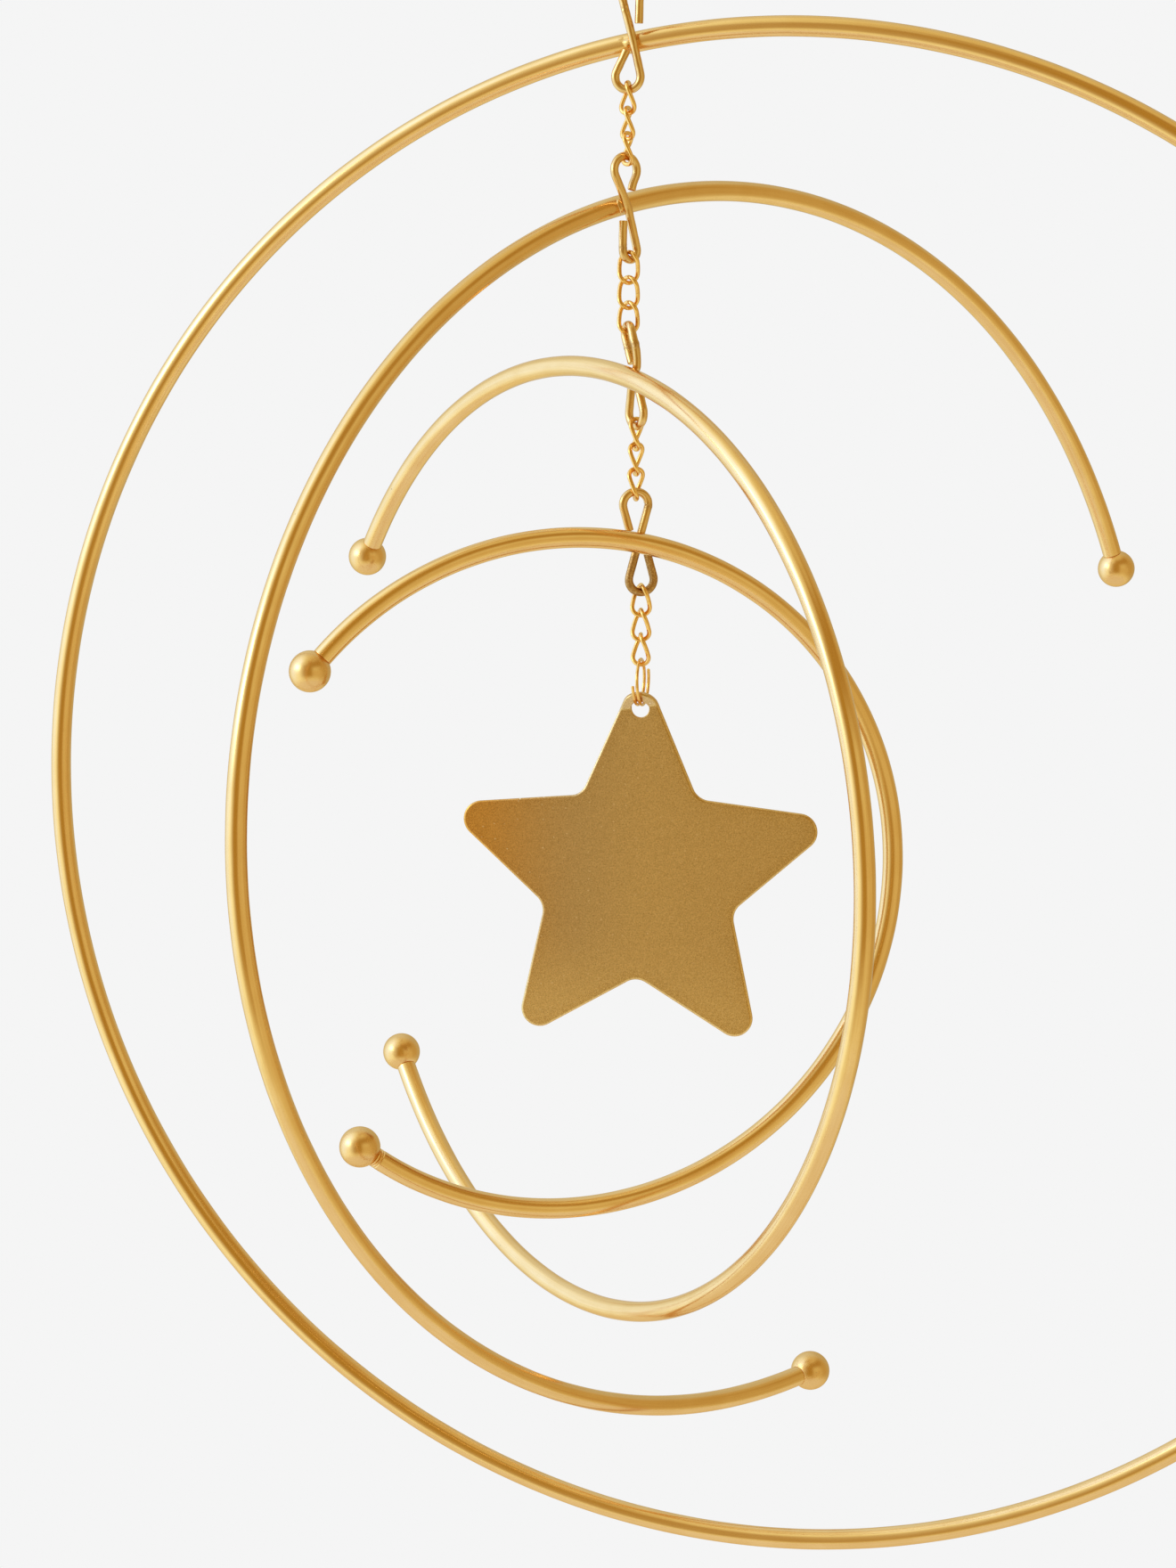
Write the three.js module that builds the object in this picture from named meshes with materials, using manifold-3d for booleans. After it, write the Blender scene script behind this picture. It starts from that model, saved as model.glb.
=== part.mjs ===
// Hanging star decoration: four open rings of round rod hang one inside the other on a short twisted chain,
// and a flat star hangs in the middle. Each ring carries an S hook on its rod and a ball on both rod ends.
// Millimetres and degrees, +Z up, +X to the right and +Y away from the viewer.
// The origin is the point inside the top of the hanging ring where a nail or a hook carries the whole piece.
import * as THREE from "three";
import { mergeVertices } from "three/addons/utils/BufferGeometryUtils.js";
import Module from "manifold-3d";

const wasm = await Module();
wasm.setup();

// Driving dimensions: fits
const RUNNING_GAP = 0.2; // between wires that hang in each other
const SEAT_GAP = 0.2; // between pieces that are fixed to each other

// Driving dimensions: open rings, from the outside in, to the middle of their rods
const OUTER_RING_RADIUS = 148;
const SECOND_RING_RADIUS = 121.6;
const THIRD_RING_RADIUS = 93.9;
const INNER_RING_RADIUS = 66.3;

// Driving dimensions: rods, with their end balls
const ROD_DIAMETER = 4;
const BALL_DIAMETER = 8;
const BALL_SEAT_DIAMETER = 3.8; // flat on the ball that faces the rod
const SPIGOT_DIAMETER = 2.2; // turned end of the rod inside the ball
const SPIGOT_LENGTH = 2.6;

// Driving dimensions: S hooks
const HOOK_WIRE = 1.6;
const HOOK_LENGTH = 21.2;
const HOOK_WIDTH = 6.6;
const HOOK_END_HEIGHT = 2.4; // free end above the middle of the hook
const HOOK_END_REACH = 1.6; // free end beside the middle of the hook
const HOOK_SPINE_RUN = 1.0; // sideways run of the spine from the middle of the hook...
const HOOK_SPINE_RISE = 2.4; // ...over this height

// Driving dimensions: chain links
const LINK_WIRE = 0.9;
const LINK_LENGTH = 6.8;
const LINK_WIDTH = 4.4;
const LINK_TWIST = 84; // turn of a link's lower bow against its upper bow
const LINK_SEAM = 0.1; // hairline where the bent wire's ends meet
const LINKS_PER_CHAIN = 3;

// Driving dimensions: hanging ring at the top
const HANGER_WIRE = 1.6;
const HANGER_DIAMETER = 20;

// Driving dimensions: sprung ring that carries the star
const STAR_RING_WIRE = 0.8;
const STAR_RING_DIAMETER = 9.7;
const STAR_RING_TURNS = 1.5;
const STAR_RING_PITCH = 1.4;
const STAR_RING_YAW = 77.3;

// Driving dimensions: star
const STAR_POINTS = 5;
const STAR_THICKNESS = 1.0;
const STAR_POINT_RADIUS = 42.3; // centre to the points before they are rounded
const STAR_NOTCH_RADIUS = 19.4; // centre to the inner corners before they are rounded
const STAR_POINT_ROUND = 3.6;
const STAR_NOTCH_ROUND = 3.7;
const STAR_HOLE_PLAY = 0.55; // round the ring's two turns in the hole
const STAR_HOLE_DEPTH = 3.8; // rounded top point to the middle of the hole
const STAR_TILT = 0.5; // clockwise in its own plane

// The open rings from the outside in. Angles in a ring's own plane run clockwise from its top, seen from the
// side that carries the hook. yaw points from the chain towards the gap, lean brings the bottom of the ring
// towards the hook side, weldRise is the rod's height against the middle of its hook, and pitch is how far
// the rod would be sprung sideways over a whole turn.
const RINGS = [
  {
    name: "outer", radius: OUTER_RING_RADIUS, yaw: -15, weld: -10.9, ball: [64, 136],
    lean: 0.2, hookTilt: 1.8, weldRise: -0.6, pitch: 0,
  },
  {
    name: "second", radius: SECOND_RING_RADIUS, yaw: 40.4, weld: -13.8, ball: [69.6, 170.4],
    lean: 1.4, hookTilt: 0, weldRise: 0.5, pitch: 0,
  },
  {
    name: "third", radius: THIRD_RING_RADIUS, yaw: 123.1, weld: -9.8, ball: [56.2, 126.2],
    lean: -0.4, hookTilt: 12.3, weldRise: 0.3, pitch: 9.4,
  },
  {
    name: "inner", radius: INNER_RING_RADIUS, yaw: 195.4, weld: -11.7, ball: [51.3, 141],
    lean: 2.1, hookTilt: 5.3, weldRise: 0, pitch: 0,
  },
];

// Facets
const ROD_SIDES = 10;
const ROD_STEPS = 50;
const WIRE_SIDES = 6;
const HOOK_STEPS = 36;
const LINK_STEPS = 22;
const STAR_RING_STEPS = 36;
const HANGER_SIDES = 8;
const HANGER_STEPS = 30;
const BALL_SIDES = 12;
const BALL_ARC_STEPS = 8;
const ROUND_STEPS = 4;
const HOLE_STEPS = 6;

const rad = THREE.MathUtils.degToRad;
const finish = (color, roughness) => () => new THREE.MeshStandardMaterial({ color, roughness, metalness: 1 });
const rodFinish = finish(0xc99a45, 0.38);
const hookFinish = finish(0xb98a3c, 0.42);
const chainFinish = finish(0xd69a34, 0.25);
const starFinish = finish(0xb08640, 0.5);

// A point at an angle, clockwise from the top, on a circle in the X-Z plane.
function onCircle(radius, degrees) {
  return new THREE.Vector3(radius * Math.sin(rad(degrees)), 0, radius * Math.cos(rad(degrees)));
}

// An open ring's rod in the X-Z plane, between two angles clockwise from the top. Its pitch takes it out of
// that plane on both sides of the weld.
class RodPath extends THREE.Curve {
  constructor(ring, from, to) {
    super();
    Object.assign(this, { ring, from, to });
  }
  getPoint(t, target = new THREE.Vector3()) {
    const angle = THREE.MathUtils.lerp(this.from, this.to, t);
    const { radius, weld, pitch } = this.ring;
    return target.copy(onCircle(radius, angle)).setY((pitch * (angle - weld)) / 360);
  }
}

// A chain link's wire: a flat oval, twisted evenly from its upper bow to its lower bow.
// The path starts and ends at the seam in the middle of one leg.
class LinkPath extends THREE.Curve {
  constructor(length, width, twist, seam) {
    super();
    Object.assign(this, { length, width, twist, seam });
  }
  getPoint(t, target = new THREE.Vector3()) {
    const bow = this.width / 2;
    const leg = this.length - this.width;
    const half = Math.PI * bow;
    const around = 2 * half + 2 * leg;
    const s = this.seam / 2 + t * (around - this.seam);
    let x = bow;
    let z = s;
    if (s > leg / 2 && s <= leg / 2 + half) {
      const turn = (s - leg / 2) / bow;
      x = bow * Math.cos(turn);
      z = leg / 2 + bow * Math.sin(turn);
    } else if (s > leg / 2 + half && s <= 1.5 * leg + half) {
      x = -bow;
      z = leg / 2 - (s - leg / 2 - half);
    } else if (s > 1.5 * leg + half && s <= 1.5 * leg + 2 * half) {
      const turn = (s - 1.5 * leg - half) / bow;
      x = -bow * Math.cos(turn);
      z = -leg / 2 - bow * Math.sin(turn);
    } else if (s > 1.5 * leg + 2 * half) {
      z = s - around;
    }
    const angle = rad(this.twist) * (0.5 - z / this.length);
    return target.set(x * Math.cos(angle), x * Math.sin(angle), z);
  }
}

// The star ring's wire: a round coil about the Y axis, whose middle is at the top.
class CoilPath extends THREE.Curve {
  constructor(radius, turns, pitch) {
    super();
    Object.assign(this, { radius, turns, pitch });
  }
  getPoint(t, target = new THREE.Vector3()) {
    const turn = (t - 0.5) * this.turns;
    return target.copy(onCircle(this.radius, 360 * turn)).setY(this.pitch * turn);
  }
}

// A round wire or rod along a path.
function wire(path, diameter, sides, steps) {
  const section = new THREE.Shape();
  for (let k = 0; k < sides; k++) {
    const angle = (2 * Math.PI * (k + 0.5)) / sides;
    const [x, y] = [(diameter / 2) * Math.cos(angle), (diameter / 2) * Math.sin(angle)];
    k ? section.lineTo(x, y) : section.moveTo(x, y);
  }
  return new THREE.ExtrudeGeometry(section, { steps, bevelEnabled: false, extrudePath: path });
}

// Least gap between the turns of a wire, measured between points along it.
function leastSelfGap(path, diameter, count) {
  const points = path.getSpacedPoints(count);
  const apart = Math.ceil((3 * diameter * count) / path.getLength());
  let least = Infinity;
  for (let i = 0; i < count; i++) {
    for (let j = i + apart; j <= count; j++) {
      least = Math.min(least, points[i].distanceTo(points[j]));
    }
  }
  return least - diameter;
}

// Solids for joining.
function solidOf(geometry) {
  const bare = geometry.clone();
  bare.deleteAttribute("normal");
  bare.deleteAttribute("uv");
  const merged = mergeVertices(bare, 1e-4);
  const vertProperties = new Float32Array(merged.attributes.position.array);
  const triVerts = new Uint32Array(merged.index.array);
  return new wasm.Manifold(new wasm.Mesh({ numProp: 3, vertProperties, triVerts }));
}

function geometryOf(solid) {
  const mesh = solid.getMesh();
  const geometry = new THREE.BufferGeometry();
  geometry.setAttribute("position", new THREE.BufferAttribute(new Float32Array(mesh.vertProperties), 3));
  geometry.setIndex(new THREE.BufferAttribute(new Uint32Array(mesh.triVerts), 1));
  geometry.computeVertexNormals();
  return geometry;
}

function piece(name, geometry, material) {
  const mesh = new THREE.Mesh(geometry, material());
  mesh.name = name;
  return mesh;
}

// Sizes that follow from the driving dimensions
const hookBow = (HOOK_WIDTH - HOOK_WIRE) / 2;
const hookBowHeight = (HOOK_LENGTH - HOOK_WIRE) / 2 - hookBow; // middle of the hook to the middle of a bow
const linkWireLength = LINK_LENGTH - LINK_WIRE;
const linkWireWidth = LINK_WIDTH - LINK_WIRE;
const rodBehindHook = ROD_DIAMETER / 2 + HOOK_WIRE / 2 + SEAT_GAP;
const ballSeat = Math.sqrt(BALL_DIAMETER ** 2 - BALL_SEAT_DIAMETER ** 2) / 2; // ball's middle to its flat
const ballBeyondRod = ballSeat + SEAT_GAP;
const hangerRadius = (HANGER_DIAMETER - HANGER_WIRE) / 2;
const starRingRadius = (STAR_RING_DIAMETER - STAR_RING_WIRE) / 2;
const starHoleRadius = (STAR_RING_PITCH + STAR_RING_WIRE) / 2 + STAR_HOLE_PLAY;

// Height of a wire's middle over the wire that it hangs on.
const nest = (carrier, hung) => (carrier + hung) / 2 + RUNNING_GAP;

// S hook, from its upper free end to its lower one, with the middle of its upper bow at the origin.
function hookGeometry() {
  const diagonal = hookBow * Math.SQRT1_2;
  const upper = [
    [HOOK_END_REACH, HOOK_END_HEIGHT],
    [(HOOK_END_REACH + 2 * hookBow) / 3, (HOOK_END_HEIGHT + 2 * hookBowHeight) / 3],
    [hookBow, hookBowHeight],
    [diagonal, hookBowHeight + diagonal],
    [0, hookBowHeight + hookBow],
    [-diagonal, hookBowHeight + diagonal],
    [-hookBow, hookBowHeight],
    [-(HOOK_SPINE_RUN + 2 * hookBow) / 3, (HOOK_SPINE_RISE + 2 * hookBowHeight) / 3],
    [-HOOK_SPINE_RUN, HOOK_SPINE_RISE],
  ];
  const lower = upper.map(([x, z]) => [-x, -z]).reverse();
  const points = [...upper, [0, 0], ...lower].map(([x, z]) => new THREE.Vector3(x, 0, z - hookBowHeight));
  return wire(new THREE.CatmullRomCurve3(points, false, "centripetal"), HOOK_WIRE, WIRE_SIDES, HOOK_STEPS);
}

// Rod bent to an open ring, with a turned spigot on both ends.
function rodGeometry(path) {
  let solid = solidOf(wire(path, ROD_DIAMETER, ROD_SIDES, ROD_STEPS));
  for (const [end, way] of [[0, -1], [1, 1]]) {
    const start = path.getPoint(end);
    const along = path.getTangent(end).multiplyScalar(way);
    const inside = start.clone().addScaledVector(along, -ROD_DIAMETER / 2);
    const tip = start.clone().addScaledVector(along, SPIGOT_LENGTH);
    solid = solid.add(solidOf(wire(new THREE.LineCurve3(inside, tip), SPIGOT_DIAMETER, ROD_SIDES, 1)));
  }
  return geometryOf(solid);
}

// Ball with a flat and a blind hole for the rod's spigot; the hole opens along +Y.
function ballGeometry() {
  const radius = BALL_DIAMETER / 2;
  const hole = SPIGOT_DIAMETER / 2 + SEAT_GAP;
  const floor = ballBeyondRod - SPIGOT_LENGTH - SEAT_GAP;
  const profile = [new THREE.Vector2(0, -radius)];
  const last = Math.acos(-ballSeat / radius);
  for (let k = 1; k <= BALL_ARC_STEPS; k++) {
    const angle = (last * k) / BALL_ARC_STEPS;
    profile.push(new THREE.Vector2(radius * Math.sin(angle), -radius * Math.cos(angle)));
  }
  for (const [x, y] of [[hole, ballSeat], [hole, floor], [0, floor]]) {
    profile.push(new THREE.Vector2(x, y));
  }
  return new THREE.LatheGeometry(profile, BALL_SIDES);
}

// A line from one corner to the next, with each corner rounded.
function roundedOutline(corners, rounds) {
  const shape = new THREE.Shape();
  const count = corners.length;
  corners.forEach((corner, k) => {
    const before = corners[(k + count - 1) % count].clone().sub(corner).normalize();
    const after = corners[(k + 1) % count].clone().sub(corner).normalize();
    const halfAngle = Math.acos(before.dot(after)) / 2;
    const middle = before.clone().add(after).normalize();
    const centre = corner.clone().addScaledVector(middle, rounds[k] / Math.sin(halfAngle));
    const cut = rounds[k] / Math.tan(halfAngle);
    const from = corner.clone().addScaledVector(before, cut).sub(centre).angle();
    const to = corner.clone().addScaledVector(after, cut).sub(centre).angle();
    const sweep = THREE.MathUtils.euclideanModulo(to - from + Math.PI, 2 * Math.PI) - Math.PI;
    for (let step = 0; step <= ROUND_STEPS; step++) {
      const angle = from + (sweep * step) / ROUND_STEPS;
      const [x, y] = [centre.x + rounds[k] * Math.cos(angle), centre.y + rounds[k] * Math.sin(angle)];
      k || step ? shape.lineTo(x, y) : shape.moveTo(x, y);
    }
  });
  shape.closePath();
  return shape;
}

// Star plate in the X-Z plane, with the middle of its hole at the origin.
function starGeometry() {
  const corners = [];
  const rounds = [];
  for (let k = 0; k < STAR_POINTS; k++) {
    const point = onCircle(STAR_POINT_RADIUS, (360 * k) / STAR_POINTS);
    const notch = onCircle(STAR_NOTCH_RADIUS, (360 * (k + 0.5)) / STAR_POINTS);
    corners.push(new THREE.Vector2(point.x, point.z), new THREE.Vector2(notch.x, notch.z));
    rounds.push(STAR_POINT_ROUND, STAR_NOTCH_ROUND);
  }
  const arm = corners[0].clone().sub(corners[1]).normalize();
  const roundedTop = STAR_POINT_RADIUS - STAR_POINT_ROUND * (1 / Math.abs(arm.x) - 1);
  const holeHeight = roundedTop - STAR_HOLE_DEPTH;
  const shape = roundedOutline(corners, rounds);
  const hole = new THREE.Path();
  hole.absarc(0, holeHeight, starHoleRadius, 0, 2 * Math.PI, false);
  shape.holes.push(hole);
  const plate = new THREE.ExtrudeGeometry(shape, {
    depth: STAR_THICKNESS,
    bevelEnabled: false,
    curveSegments: HOLE_STEPS,
  });
  plate.translate(0, -holeHeight, -STAR_THICKNESS / 2);
  return plate.rotateX(Math.PI / 2);
}

const decoration = new THREE.Group();

// Three links below a wire, with their crossings sharing what turn is left. Returns the middle of the wire
// that hangs on the lowest link.
function addChain(name, carrier, hung) {
  const crossings = LINKS_PER_CHAIN + 1;
  const natural = 90 * crossings + LINK_TWIST * LINKS_PER_CHAIN;
  const spare = THREE.MathUtils.euclideanModulo(hung.yaw - carrier.yaw - natural + 90, 180) - 90;
  const path = new LinkPath(linkWireLength, linkWireWidth, LINK_TWIST, LINK_SEAM);
  let { yaw, wire: above } = carrier;
  const place = carrier.place.clone();
  for (let k = 1; k <= LINKS_PER_CHAIN; k++) {
    yaw += 90 + spare / crossings;
    place.z += nest(above, LINK_WIRE) - linkWireLength / 2;
    const link = piece(`${name}_link_${k}`, wire(path, LINK_WIRE, WIRE_SIDES, LINK_STEPS), chainFinish);
    link.position.copy(place);
    link.rotation.z = rad(yaw);
    decoration.add(link);
    place.z -= linkWireLength / 2;
    yaw += LINK_TWIST;
    above = LINK_WIRE;
  }
  place.z += nest(LINK_WIRE, hung.wire);
  return place;
}

// Open ring with its hook and balls, hung by the top of its hook. Returns the hook's lower bow.
function addRing(ring, place) {
  const group = new THREE.Group();
  group.position.copy(place);
  group.rotation.set(-rad(ring.lean), 0, rad(ring.yaw), "ZYX");
  decoration.add(group);

  const hook = piece(`${ring.name}_hook`, hookGeometry(), hookFinish);
  hook.position.z = -hookBow;
  hook.rotation.y = rad(ring.hookTilt);
  group.add(hook);

  const weldRun = (-HOOK_SPINE_RUN / HOOK_SPINE_RISE) * ring.weldRise;
  const weld = new THREE.Vector3(weldRun, 0, ring.weldRise - hookBowHeight);
  weld.applyAxisAngle(new THREE.Vector3(0, 1, 0), rad(ring.hookTilt)).setZ(weld.z - hookBow);
  const bend = new THREE.Group();
  bend.position.copy(weld).sub(onCircle(ring.radius, ring.weld));
  bend.position.y = rodBehindHook;
  group.add(bend);

  const inset = THREE.MathUtils.radToDeg(ballBeyondRod / ring.radius);
  const from = ring.ball[1] + inset - 360;
  const to = ring.ball[0] - inset;
  const path = new RodPath(ring, from, to);
  bend.add(piece(`${ring.name}_rod`, rodGeometry(path), rodFinish));

  for (const [end, way, label] of [[1, 1, "upper"], [0, -1, "lower"]]) {
    const along = path.getTangent(end).multiplyScalar(way);
    const ball = piece(`${ring.name}_ball_${label}`, ballGeometry(), rodFinish);
    ball.position.copy(path.getPoint(end)).addScaledVector(along, ballBeyondRod);
    ball.quaternion.setFromUnitVectors(new THREE.Vector3(0, 1, 0), along.negate());
    bend.add(ball);
  }

  group.updateMatrixWorld(true);
  const lowerBow = new THREE.Vector3(0, 0, -2 * hookBowHeight);
  lowerBow.applyAxisAngle(new THREE.Vector3(0, 1, 0), rad(ring.hookTilt)).setZ(lowerBow.z - 2 * hookBow);
  return group.localToWorld(lowerBow);
}

// Hanging ring: its lowest wire carries the first chain, and its yaw is what that chain's twist gives.
const hangerYaw = RINGS[0].yaw - LINK_TWIST * LINKS_PER_CHAIN - 90 * (LINKS_PER_CHAIN + 1);
const hangerMiddle = HANGER_WIRE / 2 - hangerRadius;
const hangerShape = new THREE.TorusGeometry(hangerRadius, HANGER_WIRE / 2, HANGER_SIDES, HANGER_STEPS);
const hanger = piece("hanging_ring", hangerShape.rotateX(Math.PI / 2), chainFinish);
hanger.position.z = hangerMiddle;
hanger.rotation.z = rad(hangerYaw);
decoration.add(hanger);

let carrier = {
  name: "top",
  wire: HANGER_WIRE,
  yaw: hangerYaw,
  place: new THREE.Vector3(0, 0, hangerMiddle - hangerRadius),
};
for (const ring of RINGS) {
  const top = addChain(carrier.name, carrier, { wire: HOOK_WIRE, yaw: ring.yaw });
  carrier = { name: ring.name, wire: HOOK_WIRE, yaw: ring.yaw, place: addRing(ring, top) };
}

// Star ring: one and a half turns of wire, hung by its top, with both lower turns in the star's hole.
const ringTop = addChain(carrier.name, carrier, { wire: STAR_RING_WIRE, yaw: STAR_RING_YAW });
const coil = new CoilPath(starRingRadius, STAR_RING_TURNS, STAR_RING_PITCH);
const starRing = piece("star_ring", wire(coil, STAR_RING_WIRE, WIRE_SIDES, STAR_RING_STEPS), chainFinish);
starRing.position.copy(ringTop).setZ(ringTop.z - starRingRadius);
starRing.rotation.z = rad(STAR_RING_YAW);
decoration.add(starRing);
console.log(`star ring: least gap between turns ${leastSelfGap(coil, STAR_RING_WIRE, 360).toFixed(2)} mm`);

// Star: hung on both lower turns of its ring, square to the ring.
const star = piece("star", starGeometry(), starFinish);
const turnReach = starHoleRadius - STAR_RING_WIRE / 2 - RUNNING_GAP;
const turnRise = Math.sqrt(turnReach ** 2 - (STAR_RING_PITCH / 2) ** 2);
star.position.copy(ringTop).setZ(ringTop.z - 2 * starRingRadius - turnRise);
star.rotation.set(0, rad(STAR_TILT), rad(STAR_RING_YAW - 90), "ZYX");
decoration.add(star);

export default decoration;
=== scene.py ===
"""Looks of a hanging star decoration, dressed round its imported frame.

Four open rings of round rod hang one inside the other on short chains of twisted links, and a flat star
hangs in the middle. Lengths are in metres and angles in degrees. +Z is up, +X is right and +Y is away from
the viewer.
"""
import logging
from dataclasses import dataclass, field
from enum import Enum
from typing import Optional, Union

import bpy
import numpy as np
from mathutils import Matrix, Vector
from mathutils.geometry import delaunay_2d_cdt
from numpy.typing import NDArray


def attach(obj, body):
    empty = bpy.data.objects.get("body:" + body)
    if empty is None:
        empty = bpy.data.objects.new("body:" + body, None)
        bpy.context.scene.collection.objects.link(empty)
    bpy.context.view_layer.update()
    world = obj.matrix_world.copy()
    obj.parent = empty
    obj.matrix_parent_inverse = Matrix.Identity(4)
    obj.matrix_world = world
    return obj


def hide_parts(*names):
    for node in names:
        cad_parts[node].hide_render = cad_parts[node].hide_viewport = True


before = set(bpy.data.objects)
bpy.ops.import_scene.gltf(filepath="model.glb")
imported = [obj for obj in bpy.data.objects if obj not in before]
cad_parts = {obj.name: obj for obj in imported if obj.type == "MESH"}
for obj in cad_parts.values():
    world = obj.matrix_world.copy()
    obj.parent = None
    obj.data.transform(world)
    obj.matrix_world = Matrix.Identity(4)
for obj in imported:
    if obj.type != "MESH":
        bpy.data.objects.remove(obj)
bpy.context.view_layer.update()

Array = NDArray[np.float64]
Colour = tuple[float, float, float, float]
Key = Union[int, str]
MM = 0.001
SHARP_ANGLE = 42.0
STOCK_STEP = 0.731
DENT_DRAW = 3
BEAD_DRAW = 6
ROD_DRAW = 40
LOG = logging.getLogger("hanging_star")


class Slot(Enum):
    """The record's material slots."""

    ROD = "rod"
    BALL = "ball"
    HOOK = "hook"
    CHAIN = "chain"
    STAR = "star"


class Axis(Enum):
    """The frame's axes, as the two rows that a turn about each one mixes."""

    X = (1, 2)
    Y = (2, 0)
    Z = (0, 1)


def turned(axis: Axis, degrees: float) -> Array:
    """Right-handed turn about one axis.

    Args:
        axis: The axis that stays where it is.
        degrees: The angle of the turn.

    Returns:
        The 3 by 3 matrix with cosines on the two mixed rows and a sine of each sign across them.
    """
    first, second = axis.value
    matrix = np.eye(3)
    matrix[first, first] = matrix[second, second] = np.cos(np.radians(degrees))
    matrix[second, first] = np.sin(np.radians(degrees))
    matrix[first, second] = -matrix[second, first]
    return matrix


def on_circle(radius: Union[float, Array], degrees: Union[float, Array]) -> Array:
    """Points of an upright circle in the X-Z plane.

    Args:
        radius: Distance from the middle.
        degrees: Angle clockwise from the top.

    Returns:
        (radius sin, 0, radius cos) of each angle.
    """
    angle = np.radians(degrees)
    return np.stack([radius * np.sin(angle), 0.0 * angle, radius * np.cos(angle)], -1)


def full_turn(count: int) -> Array:
    """Angles in radians that go evenly once round, without the last one that would repeat the first."""
    return np.linspace(0.0, 2.0 * np.pi, count, endpoint=False)


def ease(value: Array, low: float, high: float) -> Array:
    """A smooth step from 0 to 1 while the value goes from low to high: 3 t^2 - 2 t^3 of the share t."""
    share = np.clip((value - low) / (high - low), 0.0, 1.0)
    return share * share * (3.0 - 2.0 * share)


def unit(vectors: Array) -> Array:
    """The vectors brought to length one."""
    return vectors / np.linalg.norm(vectors, axis=-1, keepdims=True)


@dataclass(frozen=True)
class Place:
    """Where a piece's own frame sits in the decoration."""

    spot: Array
    turn: Array

    def put(self, points: Array) -> Array:
        """The points, turned and then moved to the spot."""
        return points @ self.turn.T + self.spot

    def inside(self, spot: Array, turn: Array) -> "Place":
        """The place that is given by a spot and a turn in this place's own frame."""
        return Place(self.put(np.asarray(spot)), self.turn @ turn)


@dataclass
class Skin:
    """A closed surface, with where each of its points lay on the straight stock and how worn it is there."""

    points: Array
    quads: Array
    tris: Array
    stock: Array
    wear: Optional[Array] = None

    def piece(self, name: str) -> bpy.types.Object:
        """Puts the surface into a mesh object at the origin.

        Args:
            name: The piece's name.

        Returns:
            The new object, shaded smooth with sharp edges kept, and with the stock and wear attributes.
        """
        mesh = bpy.data.meshes.new(name)
        corners = np.concatenate([self.quads.ravel(), self.tris.ravel()]).astype(np.int32)
        sizes = np.repeat([4, 3], [len(self.quads), len(self.tris)])
        starts = np.concatenate([[0], np.cumsum(sizes)[:-1]]).astype(np.int32)
        mesh.vertices.add(len(self.points))
        mesh.vertices.foreach_set("co", self.points.astype(np.float32).ravel())
        mesh.loops.add(len(corners))
        mesh.loops.foreach_set("vertex_index", corners)
        mesh.polygons.add(len(sizes))
        mesh.polygons.foreach_set("loop_start", starts)
        mesh.update(calc_edges=True)
        mesh.validate()
        mesh.polygons.foreach_set("use_smooth", np.ones(len(mesh.polygons), bool))
        mesh.set_sharp_from_angle(angle=np.radians(SHARP_ANGLE))
        stock = mesh.attributes.new("stock", "FLOAT_VECTOR", "POINT")
        stock.data.foreach_set("vector", self.stock.astype(np.float32).ravel())
        wear = np.zeros(len(self.points)) if self.wear is None else self.wear
        worn = mesh.attributes.new("wear", "FLOAT", "POINT")
        worn.data.foreach_set("value", wear.astype(np.float32))
        piece = bpy.data.objects.new(name, mesh)
        bpy.context.scene.collection.objects.link(piece)
        return piece


def skin_of(grid: Array, stock: Array, poles: Optional[Array] = None) -> Skin:
    """Closes a grid of rings.

    Each ring's last point joins its first. With poles, the first and last ring are closed by a fan to one
    point each; without them, the last ring joins the first.

    Args:
        grid: Rings by points round a ring, by 3.
        stock: The same grid on the straight stock.
        poles: The middle of the first and of the last ring.

    Returns:
        The closed surface, with faces that point outwards where the rings turn right-handed along the grid.
    """
    rings, around = grid.shape[:2]
    index = np.arange(rings * around).reshape(rings, around)
    nearer = index if poles is None else index[:-1]
    further = np.roll(index, -1, 0) if poles is None else index[1:]
    quads = np.stack([nearer, np.roll(nearer, -1, 1), np.roll(further, -1, 1), further], -1).reshape(-1, 4)
    points = grid.reshape(-1, 3)
    straight = stock.reshape(-1, 3)
    tris = np.zeros((0, 3), int)
    if poles is not None:
        count = len(points)
        first, last = index[0], index[-1]
        near = np.stack([np.full(around, count), np.roll(first, -1), first], -1)
        far = np.stack([np.full(around, count + 1), last, np.roll(last, -1)], -1)
        tris = np.concatenate([near, far])
        points = np.concatenate([points, poles])
        straight = np.concatenate([straight, stock[[0, -1]].mean(1)])
    return Skin(points, quads, tris, straight)


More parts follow.
